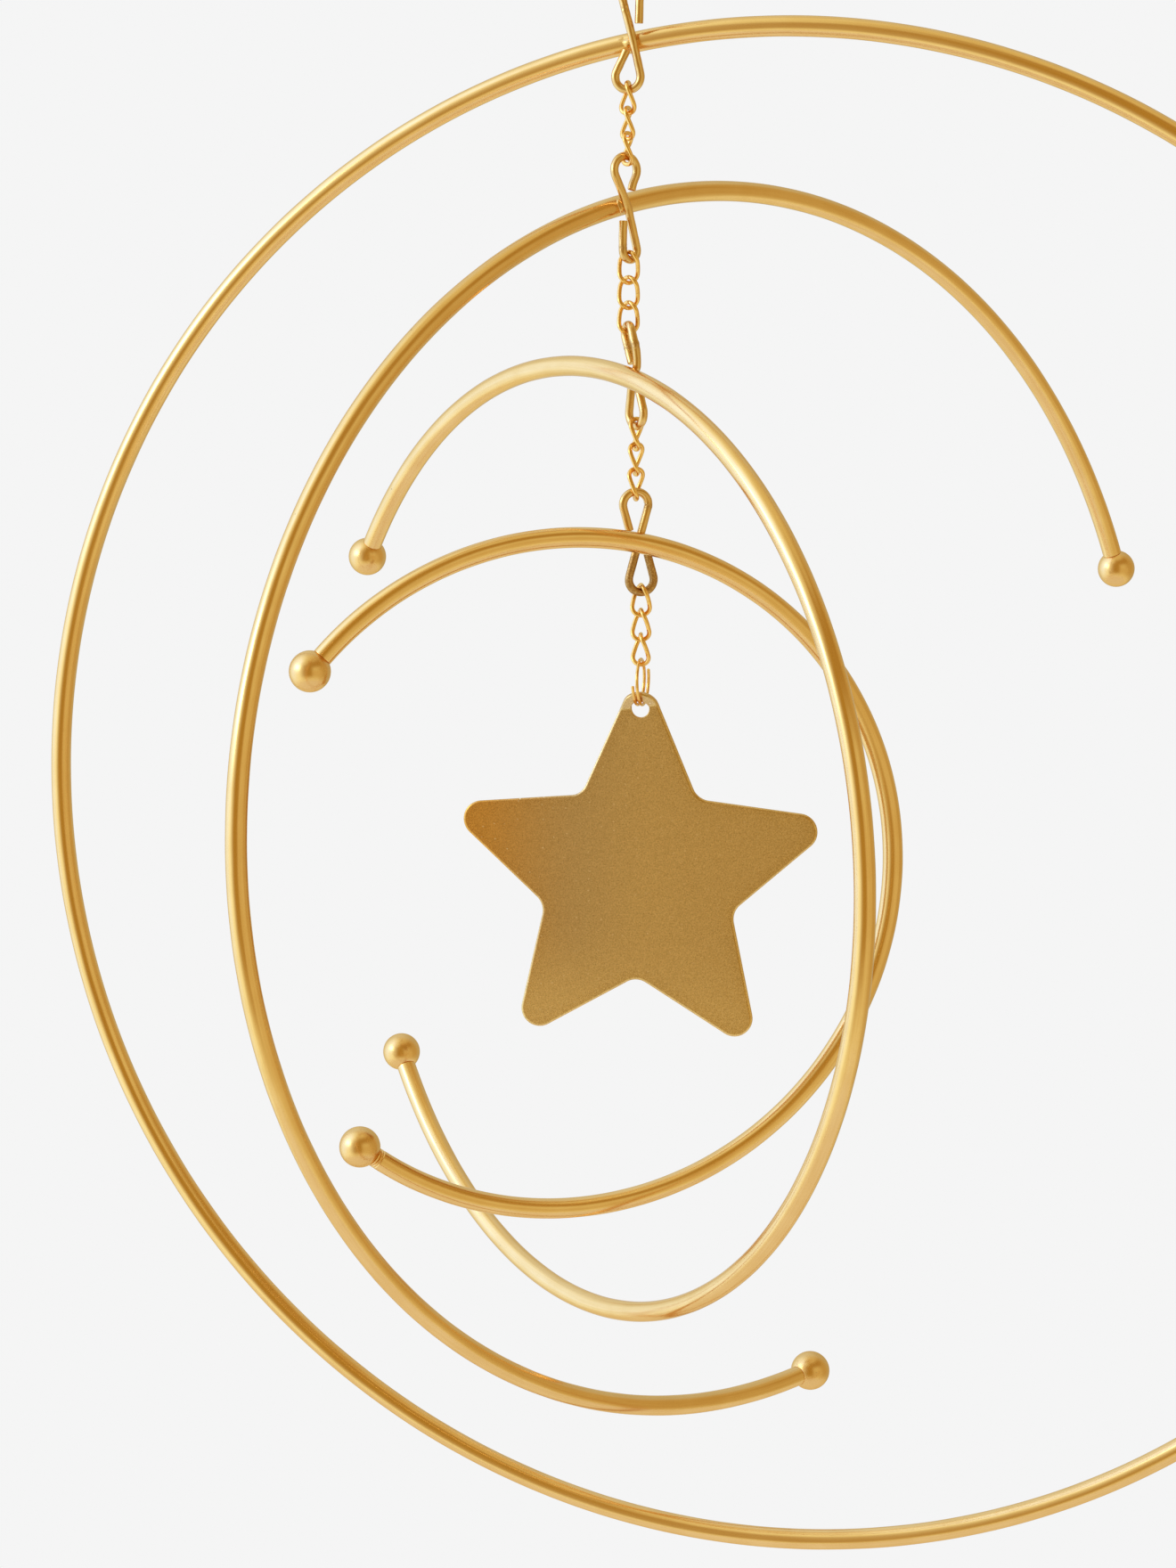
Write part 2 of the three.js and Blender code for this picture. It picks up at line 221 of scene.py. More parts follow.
@dataclass
class Line:
    """A wire's middle line: its points, unit tangents, unit side directions and the run along it."""

    points: Array
    run: Array
    along: Array
    side: Array

    @classmethod
    def through(cls, points: Array, run: Array, side: Array) -> "Line":
        """A line with frames.

        The tangent is the slope of the points over the run, and the side is the given direction with its part
        along the tangent taken out.

        Args:
            points: Stations along the middle.
            run: Length along the stock at each station.
            side: A direction for each station that is not along the line.

        Returns:
            The line.
        """
        along = unit(np.gradient(points, run, axis=0, edge_order=2))
        square = side - along * np.sum(side * along, -1, keepdims=True)
        return cls(points, run, along, unit(square))

    def skin(self, radius: Array, sides: int, offset: float, loop: bool = False) -> Skin:
        """A wire's surface along the line.

        Point (i, j) is the middle of station i plus the radius times (cos a side + sin a across), with a
        going evenly once round over j, and across square to tangent and side.

        Args:
            radius: One radius for each station, or one for each station and side.
            sides: Points round the wire.
            offset: Where the stock starts, so that no two pieces look cut from the same place.
            loop: Whether the last station joins the first.

        Returns:
            The closed surface.
        """
        angle = full_turn(sides)
        cosine, sine = np.cos(angle), np.sin(angle)
        reach = np.broadcast_to(radius.reshape(len(self.run), -1), (len(self.run), sides))
        across = np.cross(self.along, self.side)
        outward = cosine[None, :, None] * self.side[:, None] + sine[None, :, None] * across[:, None]
        grid = self.points[:, None] + reach[..., None] * outward
        straight = np.broadcast_to(self.run[:, None] + offset, reach.shape)
        stock = np.stack([straight, reach * cosine, reach * sine], -1)
        return skin_of(grid, stock, None if loop else self.points[[0, -1]])


def spun(profile: Array, sides: int) -> Array:
    """Spins a profile about the Z axis.

    Args:
        profile: Radius r and height h of each ring.
        sides: Points round a ring.

    Returns:
        Rings by points: (r cos a, r sin a, h), with a going evenly once round each ring.
    """
    angle = full_turn(sides)
    radius, height = profile[:, :1], profile[:, 1:]
    return np.stack([radius * np.cos(angle), radius * np.sin(angle), height + 0.0 * angle], -1)


def directions(lat: Array, lon: Array) -> Array:
    """Unit directions all over a ball.

    Args:
        lat: Latitude of each ring in radians, as a column.
        lon: Longitude of each point of a ring in radians.

    Returns:
        Rings by points: (cos lat cos lon, cos lat sin lon, sin lat).
    """
    level = np.cos(lat)
    return np.stack([level * np.cos(lon), level * np.sin(lon), np.sin(lat) + 0.0 * lon], -1)


def lathe(profile: Array, sides: int, offset: float) -> Skin:
    """A turned surface about the Z axis: the spun profile, closed at both poles.

    Args:
        profile: Radius and height of each ring, from the lower pole to the upper.
        sides: Points round a ring.
        offset: Where the stock starts.

    Returns:
        The closed surface.
    """
    grid = spun(profile, sides)
    stock = grid[..., [2, 0, 1]] + np.array([offset, 0.0, 0.0])
    poles = np.stack([[0.0, 0.0, profile[0, 1]], [0.0, 0.0, profile[-1, 1]]])
    return skin_of(grid, stock, poles)


@dataclass(frozen=True)
class Ripple:
    """Slow unevenness of a wire's radius: its share, and its sines with their shortest and longest length."""

    share: float
    count: int
    shortest: float
    longest: float
    most_turns: int = 3

    def over(self, seed: int, run: Array, angle: Array) -> Array:
        """Lays the unevenness over a wire's surface.

        It is a sum of sines of 2 pi run / length + turns angle + phase, each with its own length, whole
        number of turns and phase, brought to a size of about one and multiplied by the share.

        Args:
            seed: Start of the random draw.
            run: Length along the stock of each station.
            angle: Angle round the wire of each side.

        Returns:
            A value for each station and side.
        """
        draw = np.random.default_rng(seed)
        length = np.exp(draw.uniform(np.log(self.shortest), np.log(self.longest), self.count))
        turns = draw.integers(-self.most_turns, self.most_turns + 1, self.count)
        phase = draw.uniform(0.0, 2.0 * np.pi, self.count)
        inner = run[:, None, None] * (2.0 * np.pi / length) + angle[None, :, None] * turns + phase
        return self.share * (np.sin(inner).sum(-1) * np.sqrt(2.0 / self.count))


def bell(run: Array, middle: float, width: float) -> Array:
    """A bell of height one: e to the minus square of the distance from its middle over its width."""
    return np.exp(-(((run - middle) / width) ** 2))


class Value:
    """A node's output that takes part in expressions. Each operator adds one Math node."""

    def __init__(self, graph: "Graph", node: bpy.types.Node, key: Key) -> None:
        """Keeps the graph, the node and the output's key."""
        self.graph, self.node, self.key = graph, node, key

    @property
    def socket(self) -> bpy.types.NodeSocket:
        """The output itself."""
        return self.node.outputs[self.key]

    def _math(self, operation: str, left: "Term", right: "Term") -> "Value":
        """One Math node on two terms."""
        return self.graph.add("ShaderNodeMath", {"operation": operation}, {0: left, 1: right})

    def __add__(self, other: "Term") -> "Value":
        """This plus the other."""
        return self._math("ADD", self, other)

    def __radd__(self, other: "Term") -> "Value":
        """The other plus this."""
        return self._math("ADD", other, self)

    def __sub__(self, other: "Term") -> "Value":
        """This minus the other."""
        return self._math("SUBTRACT", self, other)

    def __rsub__(self, other: "Term") -> "Value":
        """The other minus this."""
        return self._math("SUBTRACT", other, self)

    def __mul__(self, other: "Term") -> "Value":
        """This times the other."""
        return self._math("MULTIPLY", self, other)

    def __rmul__(self, other: "Term") -> "Value":
        """The other times this."""
        return self._math("MULTIPLY", other, self)


Term = Union[Value, float]
Setting = Union[Term, Colour, tuple[float, float, float]]


class Graph:
    """A shader's nodes, made from Python expressions."""

    def __init__(self, tree: bpy.types.NodeTree) -> None:
        """Takes an empty tree."""
        self.tree = tree
        tree.nodes.clear()

    def add(self, kind: str, settings: dict[str, object], inputs: dict[Key, Setting], out: Key = 0) -> Value:
        """Adds one node.

        Args:
            kind: The node's type.
            settings: Its own settings, which are set first.
            inputs: A number, colour, vector or link for each socket by name or number.
            out: The output that the result stands for.

        Returns:
            The node's output.
        """
        node = self.tree.nodes.new(kind)
        for name, setting in settings.items():
            setattr(node, name, setting)
        for key, term in inputs.items():
            if isinstance(term, Value):
                self.tree.links.new(term.socket, node.inputs[key])
            else:
                node.inputs[key].default_value = term
        return Value(self, node, out)

    def attribute(self, name: str, out: Key = "Vector") -> Value:
        """A value that the mesh carries."""
        return self.add("ShaderNodeAttribute", {"attribute_name": name}, {}, out)

    def stretched(self, vector: Value, times: tuple[float, float, float]) -> Value:
        """The vector with each part multiplied by its own number."""
        return self.add("ShaderNodeVectorMath", {"operation": "MULTIPLY"}, {0: vector, 1: times}, "Vector")

    def noise(self, vector: Value, scale: float, detail: float = 2.0, rough: float = 0.5) -> Value:
        """Cloudy noise from 0 to 1."""
        inputs = {"Vector": vector, "Scale": scale, "Detail": detail, "Roughness": rough}
        return self.add("ShaderNodeTexNoise", {}, inputs, "Fac")

    def cells(self, vector: Value, scale: float, out: Key = "Distance") -> Value:
        """Distance to the nearest of many scattered points, or each cell's own colour."""
        return self.add("ShaderNodeTexVoronoi", {}, {"Vector": vector, "Scale": scale}, out)

    def step(self, value: Value, low: float, high: float, start: float = 0.0, end: float = 1.0) -> Value:
        """A smooth step from start to end while the value goes from low to high."""
        inputs = {"Value": value, "From Min": low, "From Max": high, "To Min": start, "To Max": end}
        return self.add("ShaderNodeMapRange", {"interpolation_type": "SMOOTHSTEP"}, inputs)

    def blend(self, share: Term, first: Union[Value, Colour], second: Union[Value, Colour]) -> Value:
        """The first colour, changing into the second as the share goes from 0 to 1."""
        inputs = {0: share, 6: first, 7: second}
        return self.add("ShaderNodeMix", {"data_type": "RGBA", "clamp_factor": True}, inputs, 2)

    def tint(self, share: Term, colour: Value, times: Colour) -> Value:
        """The colour, multiplied by another one as the share goes from 0 to 1."""
        settings = {"data_type": "RGBA", "blend_type": "MULTIPLY", "clamp_factor": True}
        return self.add("ShaderNodeMix", settings, {0: share, 6: colour, 7: times}, 2)

    def bump(self, height: Value, depth: float, under: Optional[Value] = None) -> Value:
        """Makes a fine relief.

        Args:
            height: The relief from 0 to 1.
            depth: How high 1 stands over 0.
            under: A normal that the relief lies on.

        Returns:
            The normal that follows the relief.
        """
        inputs: dict[Key, Setting] = {"Strength": 1.0, "Distance": depth, "Height": height}
        if under is not None:
            inputs["Normal"] = under
        return self.add("ShaderNodeBump", {}, inputs, "Normal")


def gold(red: float, green: float, blue: float) -> Colour:
    """A linear colour with full cover."""
    return (red, green, blue, 1.0)


def fresh_paint(name: str) -> tuple[bpy.types.Material, Graph]:
    """Starts a material.

    Args:
        name: The material's name.

    Returns:
        The material and its empty graph.
    """
    material = bpy.data.materials.new(name)
    material.use_nodes = True
    return material, Graph(material.node_tree)


@dataclass(frozen=True)
class Finish:
    """A surface's name, two colours that it drifts between, how rough it is, and its clear coat."""

    name: str
    light: Colour
    deep: Colour
    rough: float
    coat: float = 0.4
    coat_index: float = 1.5
    coat_rough: float = 0.1
    edge_tint: Colour = (0.86, 0.68, 0.42, 1.0)

    def dress(self, piece: bpy.types.Object) -> None:
        """Gives the piece this finish's material, made at its first use.

        Args:
            piece: What is dressed.
        """
        material = bpy.data.materials.get(self.name)
        if material is None:
            material, graph = fresh_paint(self.name)
            self.mix(graph)
        piece.data.materials.append(material)

    def mix(self, graph: Graph) -> None:
        """Makes the shader's nodes. Each finish has its own."""
        raise NotImplementedError

    def close(
        self, graph: Graph, colour: Value, rough: Value, normal: Value, bare: Optional[Value] = None
    ) -> None:
        """Ends the nodes with coated metal.

        Args:
            graph: The shader's nodes.
            colour: The metal's colour.
            rough: The metal's roughness.
            normal: The surface's fine relief.
            bare: How far the coat is worn away, from 0 to 1.
        """
        inputs = {
            "Base Color": colour,
            "Metallic": 1.0,
            "Roughness": rough,
            "Normal": normal,
            "Specular Tint": self.edge_tint,
            "Coat Weight": self.coat if bare is None else self.coat - bare * self.coat,
            "Coat IOR": self.coat_index,
            "Coat Roughness": self.coat_rough,
        }
        shader = graph.add("ShaderNodeBsdfPrincipled", {}, inputs, "BSDF")
        graph.add("ShaderNodeOutputMaterial", {}, {"Surface": shader})


@dataclass(frozen=True)
class DrawnLacquer(Finish):
    """Satin gold lacquer on drawn metal: faint streaks along it, cloudy sheen, small pits, and worn places.

    Each span gives where in its noise a mark starts and where it is full, and each share how strong it is.
    """

    streaks: float = 1.0
    streak_scale: float = 2600.0
    streak_stretch: tuple[float, float, float] = (0.02, 1.0, 1.0)
    streak_share: float = 0.6
    streak_rough: float = 0.08
    streak_relief: float = 0.35
    cloud_scale: float = 160.0
    cloud_share: float = 0.4
    cloud_rough: float = 0.1
    drift_span: tuple[float, float] = (0.36, 0.64)
    pits: float = 0.6
    pit_scale: float = 190.0
    pit_span: tuple[float, float] = (0.02, 0.05)
    pit_patch: tuple[float, float] = (0.52, 0.62)
    pit_colour: Colour = gold(0.12, 0.065, 0.028)
    grain_scale: float = 4600.0
    speck_span: tuple[float, float] = (0.52, 0.62)
    speck_share: float = 0.6
    worn_colour: Colour = gold(0.39, 0.195, 0.063)
    worn_share: float = 0.9
    worn_rough: float = 0.14
    worn_relief: float = 0.05 * MM
    relief: float = 0.0016 * MM

    def mix(self, graph: Graph) -> None:
        """Makes streaks from noise drawn out along the stock, clouds, pits and grain from noise that isn't.

        Args:
            graph: The shader's empty graph.
        """
        stock = graph.attribute("stock")
        wear = graph.attribute("wear", "Fac")
        drawn = graph.stretched(stock, self.streak_stretch)
        streak = graph.noise(drawn, self.streak_scale, detail=3.0, rough=0.6)
        cloud = graph.noise(stock, self.cloud_scale, detail=3.0, rough=0.55)
        grain = graph.noise(stock, self.grain_scale, detail=2.0, rough=0.6)
        hollow = graph.step(graph.cells(stock, self.pit_scale), *self.pit_span, start=1.0, end=0.0)
        pit = hollow * graph.step(cloud, *self.pit_patch)
        plain = 0.5 * self.streak_share * (1.0 - self.streaks)
        both = streak * (self.streak_share * self.streaks) + cloud * self.cloud_share
        colour = graph.blend(graph.step(both + plain, *self.drift_span), self.light, self.deep)
        colour = graph.blend(pit * self.pits, colour, self.pit_colour)
        speck = graph.step(grain, *self.speck_span) * wear
        colour = graph.blend(wear * self.worn_share, colour, self.worn_colour)
        colour = graph.blend(speck * self.speck_share, colour, self.light)
        rough = self.rough + (cloud - 0.5) * self.cloud_rough
        rough = rough + (streak - 0.5) * (self.streak_rough * self.streaks) + wear * self.worn_rough
        fine = graph.bump(streak * (self.streak_relief * self.streaks) - pit, self.relief)
        self.close(graph, colour, rough, graph.bump(grain * wear, self.worn_relief, fine), wear)


@dataclass(frozen=True)
class BrightPlating(Finish):
    """Bright gold plating on bent wire: shiny, with faint die lines and a few duller patches."""

    line_scale: float = 4200.0
    line_stretch: tuple[float, float, float] = (0.05, 1.0, 1.0)
    line_share: float = 0.5
    line_rough: float = 0.08
    patch_scale: float = 420.0
    patch_span: tuple[float, float] = (0.42, 0.66)
    patch_share: float = 0.7
    patch_rough: float = 0.12
    relief: float = 0.0006 * MM

    def mix(self, graph: Graph) -> None:
        """Makes die lines from noise drawn out along the stock, and dull patches from noise that isn't.

        Args:
            graph: The shader's empty graph.
        """
        stock = graph.attribute("stock")
        lines = graph.noise(graph.stretched(stock, self.line_stretch), self.line_scale, detail=2.0, rough=0.5)
        patch = graph.step(graph.noise(stock, self.patch_scale, detail=3.0, rough=0.6), *self.patch_span)
        drift = patch * self.patch_share + (lines - 0.5) * self.line_share
        colour = graph.blend(drift, self.light, self.deep)
        rough = self.rough + patch * self.patch_rough + (lines - 0.5) * self.line_rough
        self.close(graph, colour, rough, graph.bump(lines, self.relief))


@dataclass(frozen=True)
class FlakePaint(Finish):
    """Fine metallic paint on sheet: a grain of flakes, a few bright ones, and painted light and shading by
    place.

    The tints by place are painted light and shading, not the paint's own colour: painted shading on the upper
    part left of the hole, deeper and more orange further left, and painted light towards the bottom, which a
    cloud varies at random. Their spans give where on the sheet, across or up from the hole, a tint starts and
    where it is full. The other spans are those of the noise.
    """

    grain_scale: float = 3600.0
    grain_span: tuple[float, float] = (0.34, 0.66)
    grain_share: float = 0.6
    grain_rough: float = 0.16
    cell_scale: float = 5600.0
    cell_share: float = 0.4
    cell_relief: float = 0.5
    flake_scale: float = 420.0
    flake_span: tuple[float, float] = (0.03, 0.08)
    flake_pick: tuple[float, float] = (0.55, 1.05)
    flake_colour: Colour = gold(1.0, 0.8, 0.588)
    flake_gloss: float = 0.2
    rim_gloss: float = 0.06
    # Painted shading, not the paint's own colour: it is full above this span of height and gone below it. The
    # first tint darkens the sheet left of the hole, and the second darkens it further left and makes it more
    # orange.
    painted_shade_height_span: tuple[float, float] = (-60.0 * MM, -40.0 * MM)
    painted_shade: Colour = (0.86, 0.85, 0.92, 1.0)
    painted_shade_span: tuple[float, float] = (4.0 * MM, -16.0 * MM)
    painted_shade_share: float = 0.8
    painted_warm_shade: Colour = (1.14, 0.82, 0.3, 1.0)
    painted_warm_shade_span: tuple[float, float] = (-10.0 * MM, -36.0 * MM)
    painted_warm_shade_share: float = 0.85
    # Painted light, not the paint's own colour: this tint lightens the sheet towards the bottom.
    pale: Colour = (1.2, 1.25, 1.3, 1.0)
    painted_light_span: tuple[float, float] = (-42.0 * MM, -70.0 * MM)
    painted_light_share: float = 0.75
    cloud_scale: float = 90.0
    cloud_share: float = 0.35
    relief: float = 0.004 * MM

    def mix(self, graph: Graph) -> None:
        """Makes the grain from fine noise and cells, flakes from a few cells, and painted light and shading
        from the place.

        Args:
            graph: The shader's empty graph.
        """
        stock = graph.attribute("stock")
        rim = graph.attribute("wear", "Fac")
        across, up = (graph.add("ShaderNodeSeparateXYZ", {}, {0: stock}, way) for way in "XY")
        grain = graph.noise(stock, self.grain_scale, detail=2.0, rough=0.7)
        fine = graph.cells(stock, self.cell_scale, "Color")
        single = graph.add("ShaderNodeSeparateColor", {}, {0: fine}, 1)
        cloud = graph.noise(stock, self.cloud_scale, detail=3.0, rough=0.55)
        flat, place = {"voronoi_dimensions": "2D"}, {"Vector": stock, "Scale": self.flake_scale}
        spot = graph.add("ShaderNodeTexVoronoi", flat, place, "Distance")
        chosen = graph.add("ShaderNodeTexVoronoi", flat, place, "Color")
        pick = graph.add("ShaderNodeSeparateColor", {}, {0: chosen}, 0)
        flake = graph.step(spot, *self.flake_span, start=1.0, end=0.0) * graph.step(pick, *self.flake_pick)
        light = graph.step(grain, *self.grain_span) * self.grain_share + single * self.cell_share
        colour = graph.blend(light, self.deep, self.light)
        # Painted shading on the upper part: darker left of the hole, and darker and more orange further left.
        arm = graph.step(up, *self.painted_shade_height_span)
        left = graph.step(across, *self.painted_shade_span, end=self.painted_shade_share)
        colour = graph.tint(left * arm, colour, self.painted_shade)
        colour = graph.tint(graph.step(across, *self.painted_warm_shade_span, end=self.painted_warm_shade_share) * arm, colour, self.painted_warm_shade)
        # Painted light towards the bottom, which the cloud varies at random.
        low = graph.step(up, *self.painted_light_span, end=self.painted_light_share)
        colour = graph.tint(low + (cloud - 0.5) * self.cloud_share, colour, self.pale)
        colour = graph.blend(flake, colour, self.flake_colour)
        rough = self.rough + (grain - 0.5) * self.grain_rough
        rough = rough - flake * self.flake_gloss - rim * self.rim_gloss
        self.close(graph, colour, rough, graph.bump(grain + single * self.cell_relief, self.relief))


@dataclass(frozen=True)
class BrazeMetal(Finish):
    """Brazing that ran and set between two wires, under the same lacquer."""

    pool_scale: float = 900.0
    pool_span: tuple[float, float] = (0.35, 0.65)
    pool_rough: float = 0.3
    pore_scale: float = 1500.0
    pore_span: tuple[float, float] = (0.05, 0.2)
    pore_share: float = 0.6
    pore_relief: float = 0.4
    pore_colour: Colour = gold(0.1, 0.05, 0.021)
    relief: float = 0.008 * MM

    def mix(self, graph: Graph) -> None:
        """Makes pools and pores from two sizes of noise.

        Args:
            graph: The shader's empty graph.
        """
        stock = graph.attribute("stock")
        pool = graph.noise(stock, self.pool_scale, detail=3.0, rough=0.6)
        pore = graph.step(graph.cells(stock, self.pore_scale), *self.pore_span, start=1.0, end=0.0)
        colour = graph.blend(graph.step(pool, *self.pool_span), self.light, self.deep)
        colour = graph.blend(pore * self.pore_share, colour, self.pore_colour)
        rough = self.rough + (pool - 0.5) * self.pool_rough
        self.close(graph, colour, rough, graph.bump(pool - pore * self.pore_relief, self.relief))


ROD_LACQUER = DrawnLacquer(
    "rod_lacquer",
    light=gold(0.88, 0.555, 0.21),
    deep=gold(0.83, 0.5, 0.168),
    rough=0.2,
    coat=0.25,
    coat_rough=0.2,
)
HOOK_LACQUER = DrawnLacquer(
    "hook_lacquer",
    light=gold(0.83, 0.51, 0.182),
    deep=gold(0.7, 0.41, 0.126),
    rough=0.21,
    coat=0.35,
    coat_rough=0.18,
    pits=0.8,
)
BALL_LACQUER = DrawnLacquer(
    "ball_lacquer",
    light=gold(0.86, 0.53, 0.196),
    deep=gold(0.82, 0.49, 0.168),
    rough=0.26,
    coat=0.12,
    coat_rough=0.3,
    pits=0.3,
    streaks=0.1,
)
CHAIN_PLATING = BrightPlating(
    "chain_plating", light=gold(0.93, 0.55, 0.154), deep=gold(0.82, 0.45, 0.098), rough=0.13
)
STAR_PAINT = FlakePaint(
    "star_paint",
    light=gold(0.84, 0.55, 0.234),
    deep=gold(0.56, 0.36, 0.14),
    rough=0.3,
    coat=0.12,
    coat_rough=0.25,
    edge_tint=gold(0.86, 0.58, 0.28),
)
BRAZE = BrazeMetal("braze_metal", light=gold(0.85, 0.5, 0.168), deep=gold(0.7, 0.4, 0.119), rough=0.24)


@dataclass
class Fitted:
    """Counts the pieces as they are fitted to the frame, so that each has stock of its own."""

    names: list[str] = field(default_factory=list)

    def offset(self) -> float:
        """Where the next piece's stock starts."""
        return STOCK_STEP * len(self.names)

    def fit(
        self, skin: Skin, place: Place, name: str, finish: Finish, body: str, slot: Slot, *nodes: str
    ) -> None:
        """Puts a piece in its place, dresses it and fits it to the frame.

        Args:
            skin: The piece's surface, in its own frame.
            place: Where that frame sits.
            name: The piece's name.
            finish: What it is dressed in.
            body: The body that it moves with.
            slot: The record's material slot; not used.
            *nodes: The solids that it stands for.
        """
        skin.points = place.put(skin.points)
        piece = skin.piece(name)
        finish.dress(piece)
        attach(piece, body)
        if nodes:
            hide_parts(*nodes)
        self.names.append(name)
        LOG.info("%s: %d points, rides on %s", name, len(skin.points), body)


@dataclass(frozen=True)
class Hold:
    """A wire that something hangs on: its middle, its thickness and its yaw."""

    spot: Array
    wire: float
    yaw: float


@dataclass(frozen=True)
class Fits:
    """Clearances between pieces."""

    running: float = 0.2 * MM
    seat: float = 0.2 * MM

    def nest(self, carrier: float, hung: float) -> float:
        """Height of a hung wire's middle over the middle of the wire that it hangs on."""
        return (carrier + hung) / 2.0 + self.running


@dataclass
class HangingRing:
    """The closed ring at the top, bent from wire and soldered at its seam."""

    wire: float = 1.6 * MM
    diameter: float = 20.0 * MM
    yaw: float = -627.0
    seam_at: float = 52.0
    seam_swell: float = 0.07
    seam_length: float = 0.9 * MM
    crack_depth: float = 0.06
    crack_length: float = 0.22 * MM
    stations: int = 180
    sides: int = 24

    def hold(self) -> Hold:
        """The wire at the bottom of the ring."""
        return Hold(np.array([0.0, 0.0, self.wire / 2.0 - 2.0 * self.middle]), self.wire, self.yaw)

    @property
    def middle(self) -> float:
        """Radius to the middle of the wire."""
        return (self.diameter - self.wire) / 2.0

    def build(self, fitted: Fitted) -> None:
        """Bends the wire to a circle, with a soldered seam beside the top.

        The wire's radius is multiplied by one plus a wide bell, the solder, less a narrow one, its crack.

        Args:
            fitted: Takes the piece.
        """
        degrees = np.linspace(0.0, 360.0, self.stations, endpoint=False)
        run = self.middle * np.radians(degrees)
        flat = on_circle(self.middle, degrees)
        along = on_circle(1.0, degrees + 90.0)
        line = Line(flat, run, along, np.broadcast_to(np.array([0.0, 1.0, 0.0]), flat.shape))
        seam = self.middle * np.radians(self.seam_at)
        swell = self.seam_swell * bell(run, seam, self.seam_length)
        crack = self.crack_depth * bell(run, seam, self.crack_length)
        skin = line.skin(self.wire / 2.0 * (1.0 + swell - crack), self.sides, fitted.offset(), loop=True)
        place = Place(np.array([0.0, 0.0, self.wire / 2.0 - self.middle]), turned(Axis.Z, self.yaw))
        fitted.fit(skin, place, "hanging_ring_wire", CHAIN_PLATING, "hanger", Slot.CHAIN, "hanging_ring")


@dataclass
class Chain:
    """Three twisted links between one wire and the next."""

    name: str
    carrier: Hold
    hung_wire: float
    hung_yaw: float
    wire: float = 0.9 * MM
    drawn_wire: float = 0.86 * MM
    length: float = 6.8 * MM
    width: float = 4.46 * MM
    twist: float = 84.0
    seam: float = 0.015 * MM
    end_bevel: float = 0.06 * MM
    end_share: float = 0.97
    links: int = 3
    stations: int = 160
    sides: int = 18
    fits: Fits = Fits()

    def places(self) -> tuple[list[Place], Array]:
        """Hangs the links below the carrier, with their crossings sharing what turn is left.

        Returns:
            The place of each link's middle, and the middle of the wire that hangs on the lowest link.
        """
        tall = self.length - self.wire
        crossings = self.links + 1
        natural = 90.0 * crossings + self.twist * self.links
        spare = (self.hung_yaw - self.carrier.yaw - natural + 90.0) % 180.0 - 90.0
        number = np.arange(self.links)
        yaws = self.carrier.yaw + (number + 1) * (90.0 + spare / crossings) + number * self.twist
        first = self.fits.nest(self.carrier.wire, self.wire) - tall / 2.0
        heights = first + number * (self.fits.nest(self.wire, self.wire) - tall)
        start = self.carrier.spot
        places = [Place(start + [0.0, 0.0, z], turned(Axis.Z, yaw)) for z, yaw in zip(heights, yaws)]
        end = heights[-1] - tall / 2.0 + self.fits.nest(self.wire, self.hung_wire)
        return places, start + [0.0, 0.0, end]

    def line(self) -> Line:
        """Bends one link's middle line.

        A flat oval of two straight legs and two half circles runs from the seam in one leg round to the seam
        again. Each of its points is then turned about the upright axis by an angle that goes evenly from none
        at the top to the whole twist at the bottom.

        Returns:
            The line, with the oval's own normal, turned along, as its side.
        """
        bow = (self.width - self.wire) / 2.0
        tall = self.length - self.wire
        leg = tall - 2.0 * bow
        half = np.pi * bow
        around = 2.0 * (half + leg)
        run = np.linspace(self.seam / 2.0, around - self.seam / 2.0, self.stations)
        run = np.sort(np.concatenate([run, [run[0] + self.end_bevel, run[-1] - self.end_bevel]]))
        rise = (run - leg / 2.0) / bow
        fall = (run - 1.5 * leg - half) / bow
        parts = [run <= leg / 2.0, rise <= np.pi, run <= 1.5 * leg + half, fall <= np.pi]
        out = [bow + 0.0 * run, bow * np.cos(rise), -bow + 0.0 * run, -bow * np.cos(fall)]
        across = np.select(parts, out, bow)
        up = [run, leg / 2.0 + bow * np.sin(rise), leg + half - run, -leg / 2.0 - bow * np.sin(fall)]
        height = np.select(parts, up, run - around)
        angle = np.radians(self.twist) * (0.5 - height / tall)
        points = np.stack([across * np.cos(angle), across * np.sin(angle), height], -1)
        side = np.stack([-np.sin(angle), np.cos(angle), 0.0 * angle], -1)
        return Line.through(points, run, side)

    def build(self, fitted: Fitted) -> Array:
        """Makes the links.

        Args:
            fitted: Takes the pieces.

        Returns:
            The middle of the wire that hangs on the lowest link.
        """
        places, end = self.places()
        line = self.line()
        radius = np.full(len(line.run), self.drawn_wire / 2.0)
        radius[[0, -1]] *= self.end_share
        for number, place in enumerate(places, 1):
            skin = line.skin(radius, self.sides, fitted.offset())
            node = f"{self.name}_link_{number}"
            fitted.fit(skin, place, f"{node}_wire", CHAIN_PLATING, node, Slot.CHAIN, node)
        return end


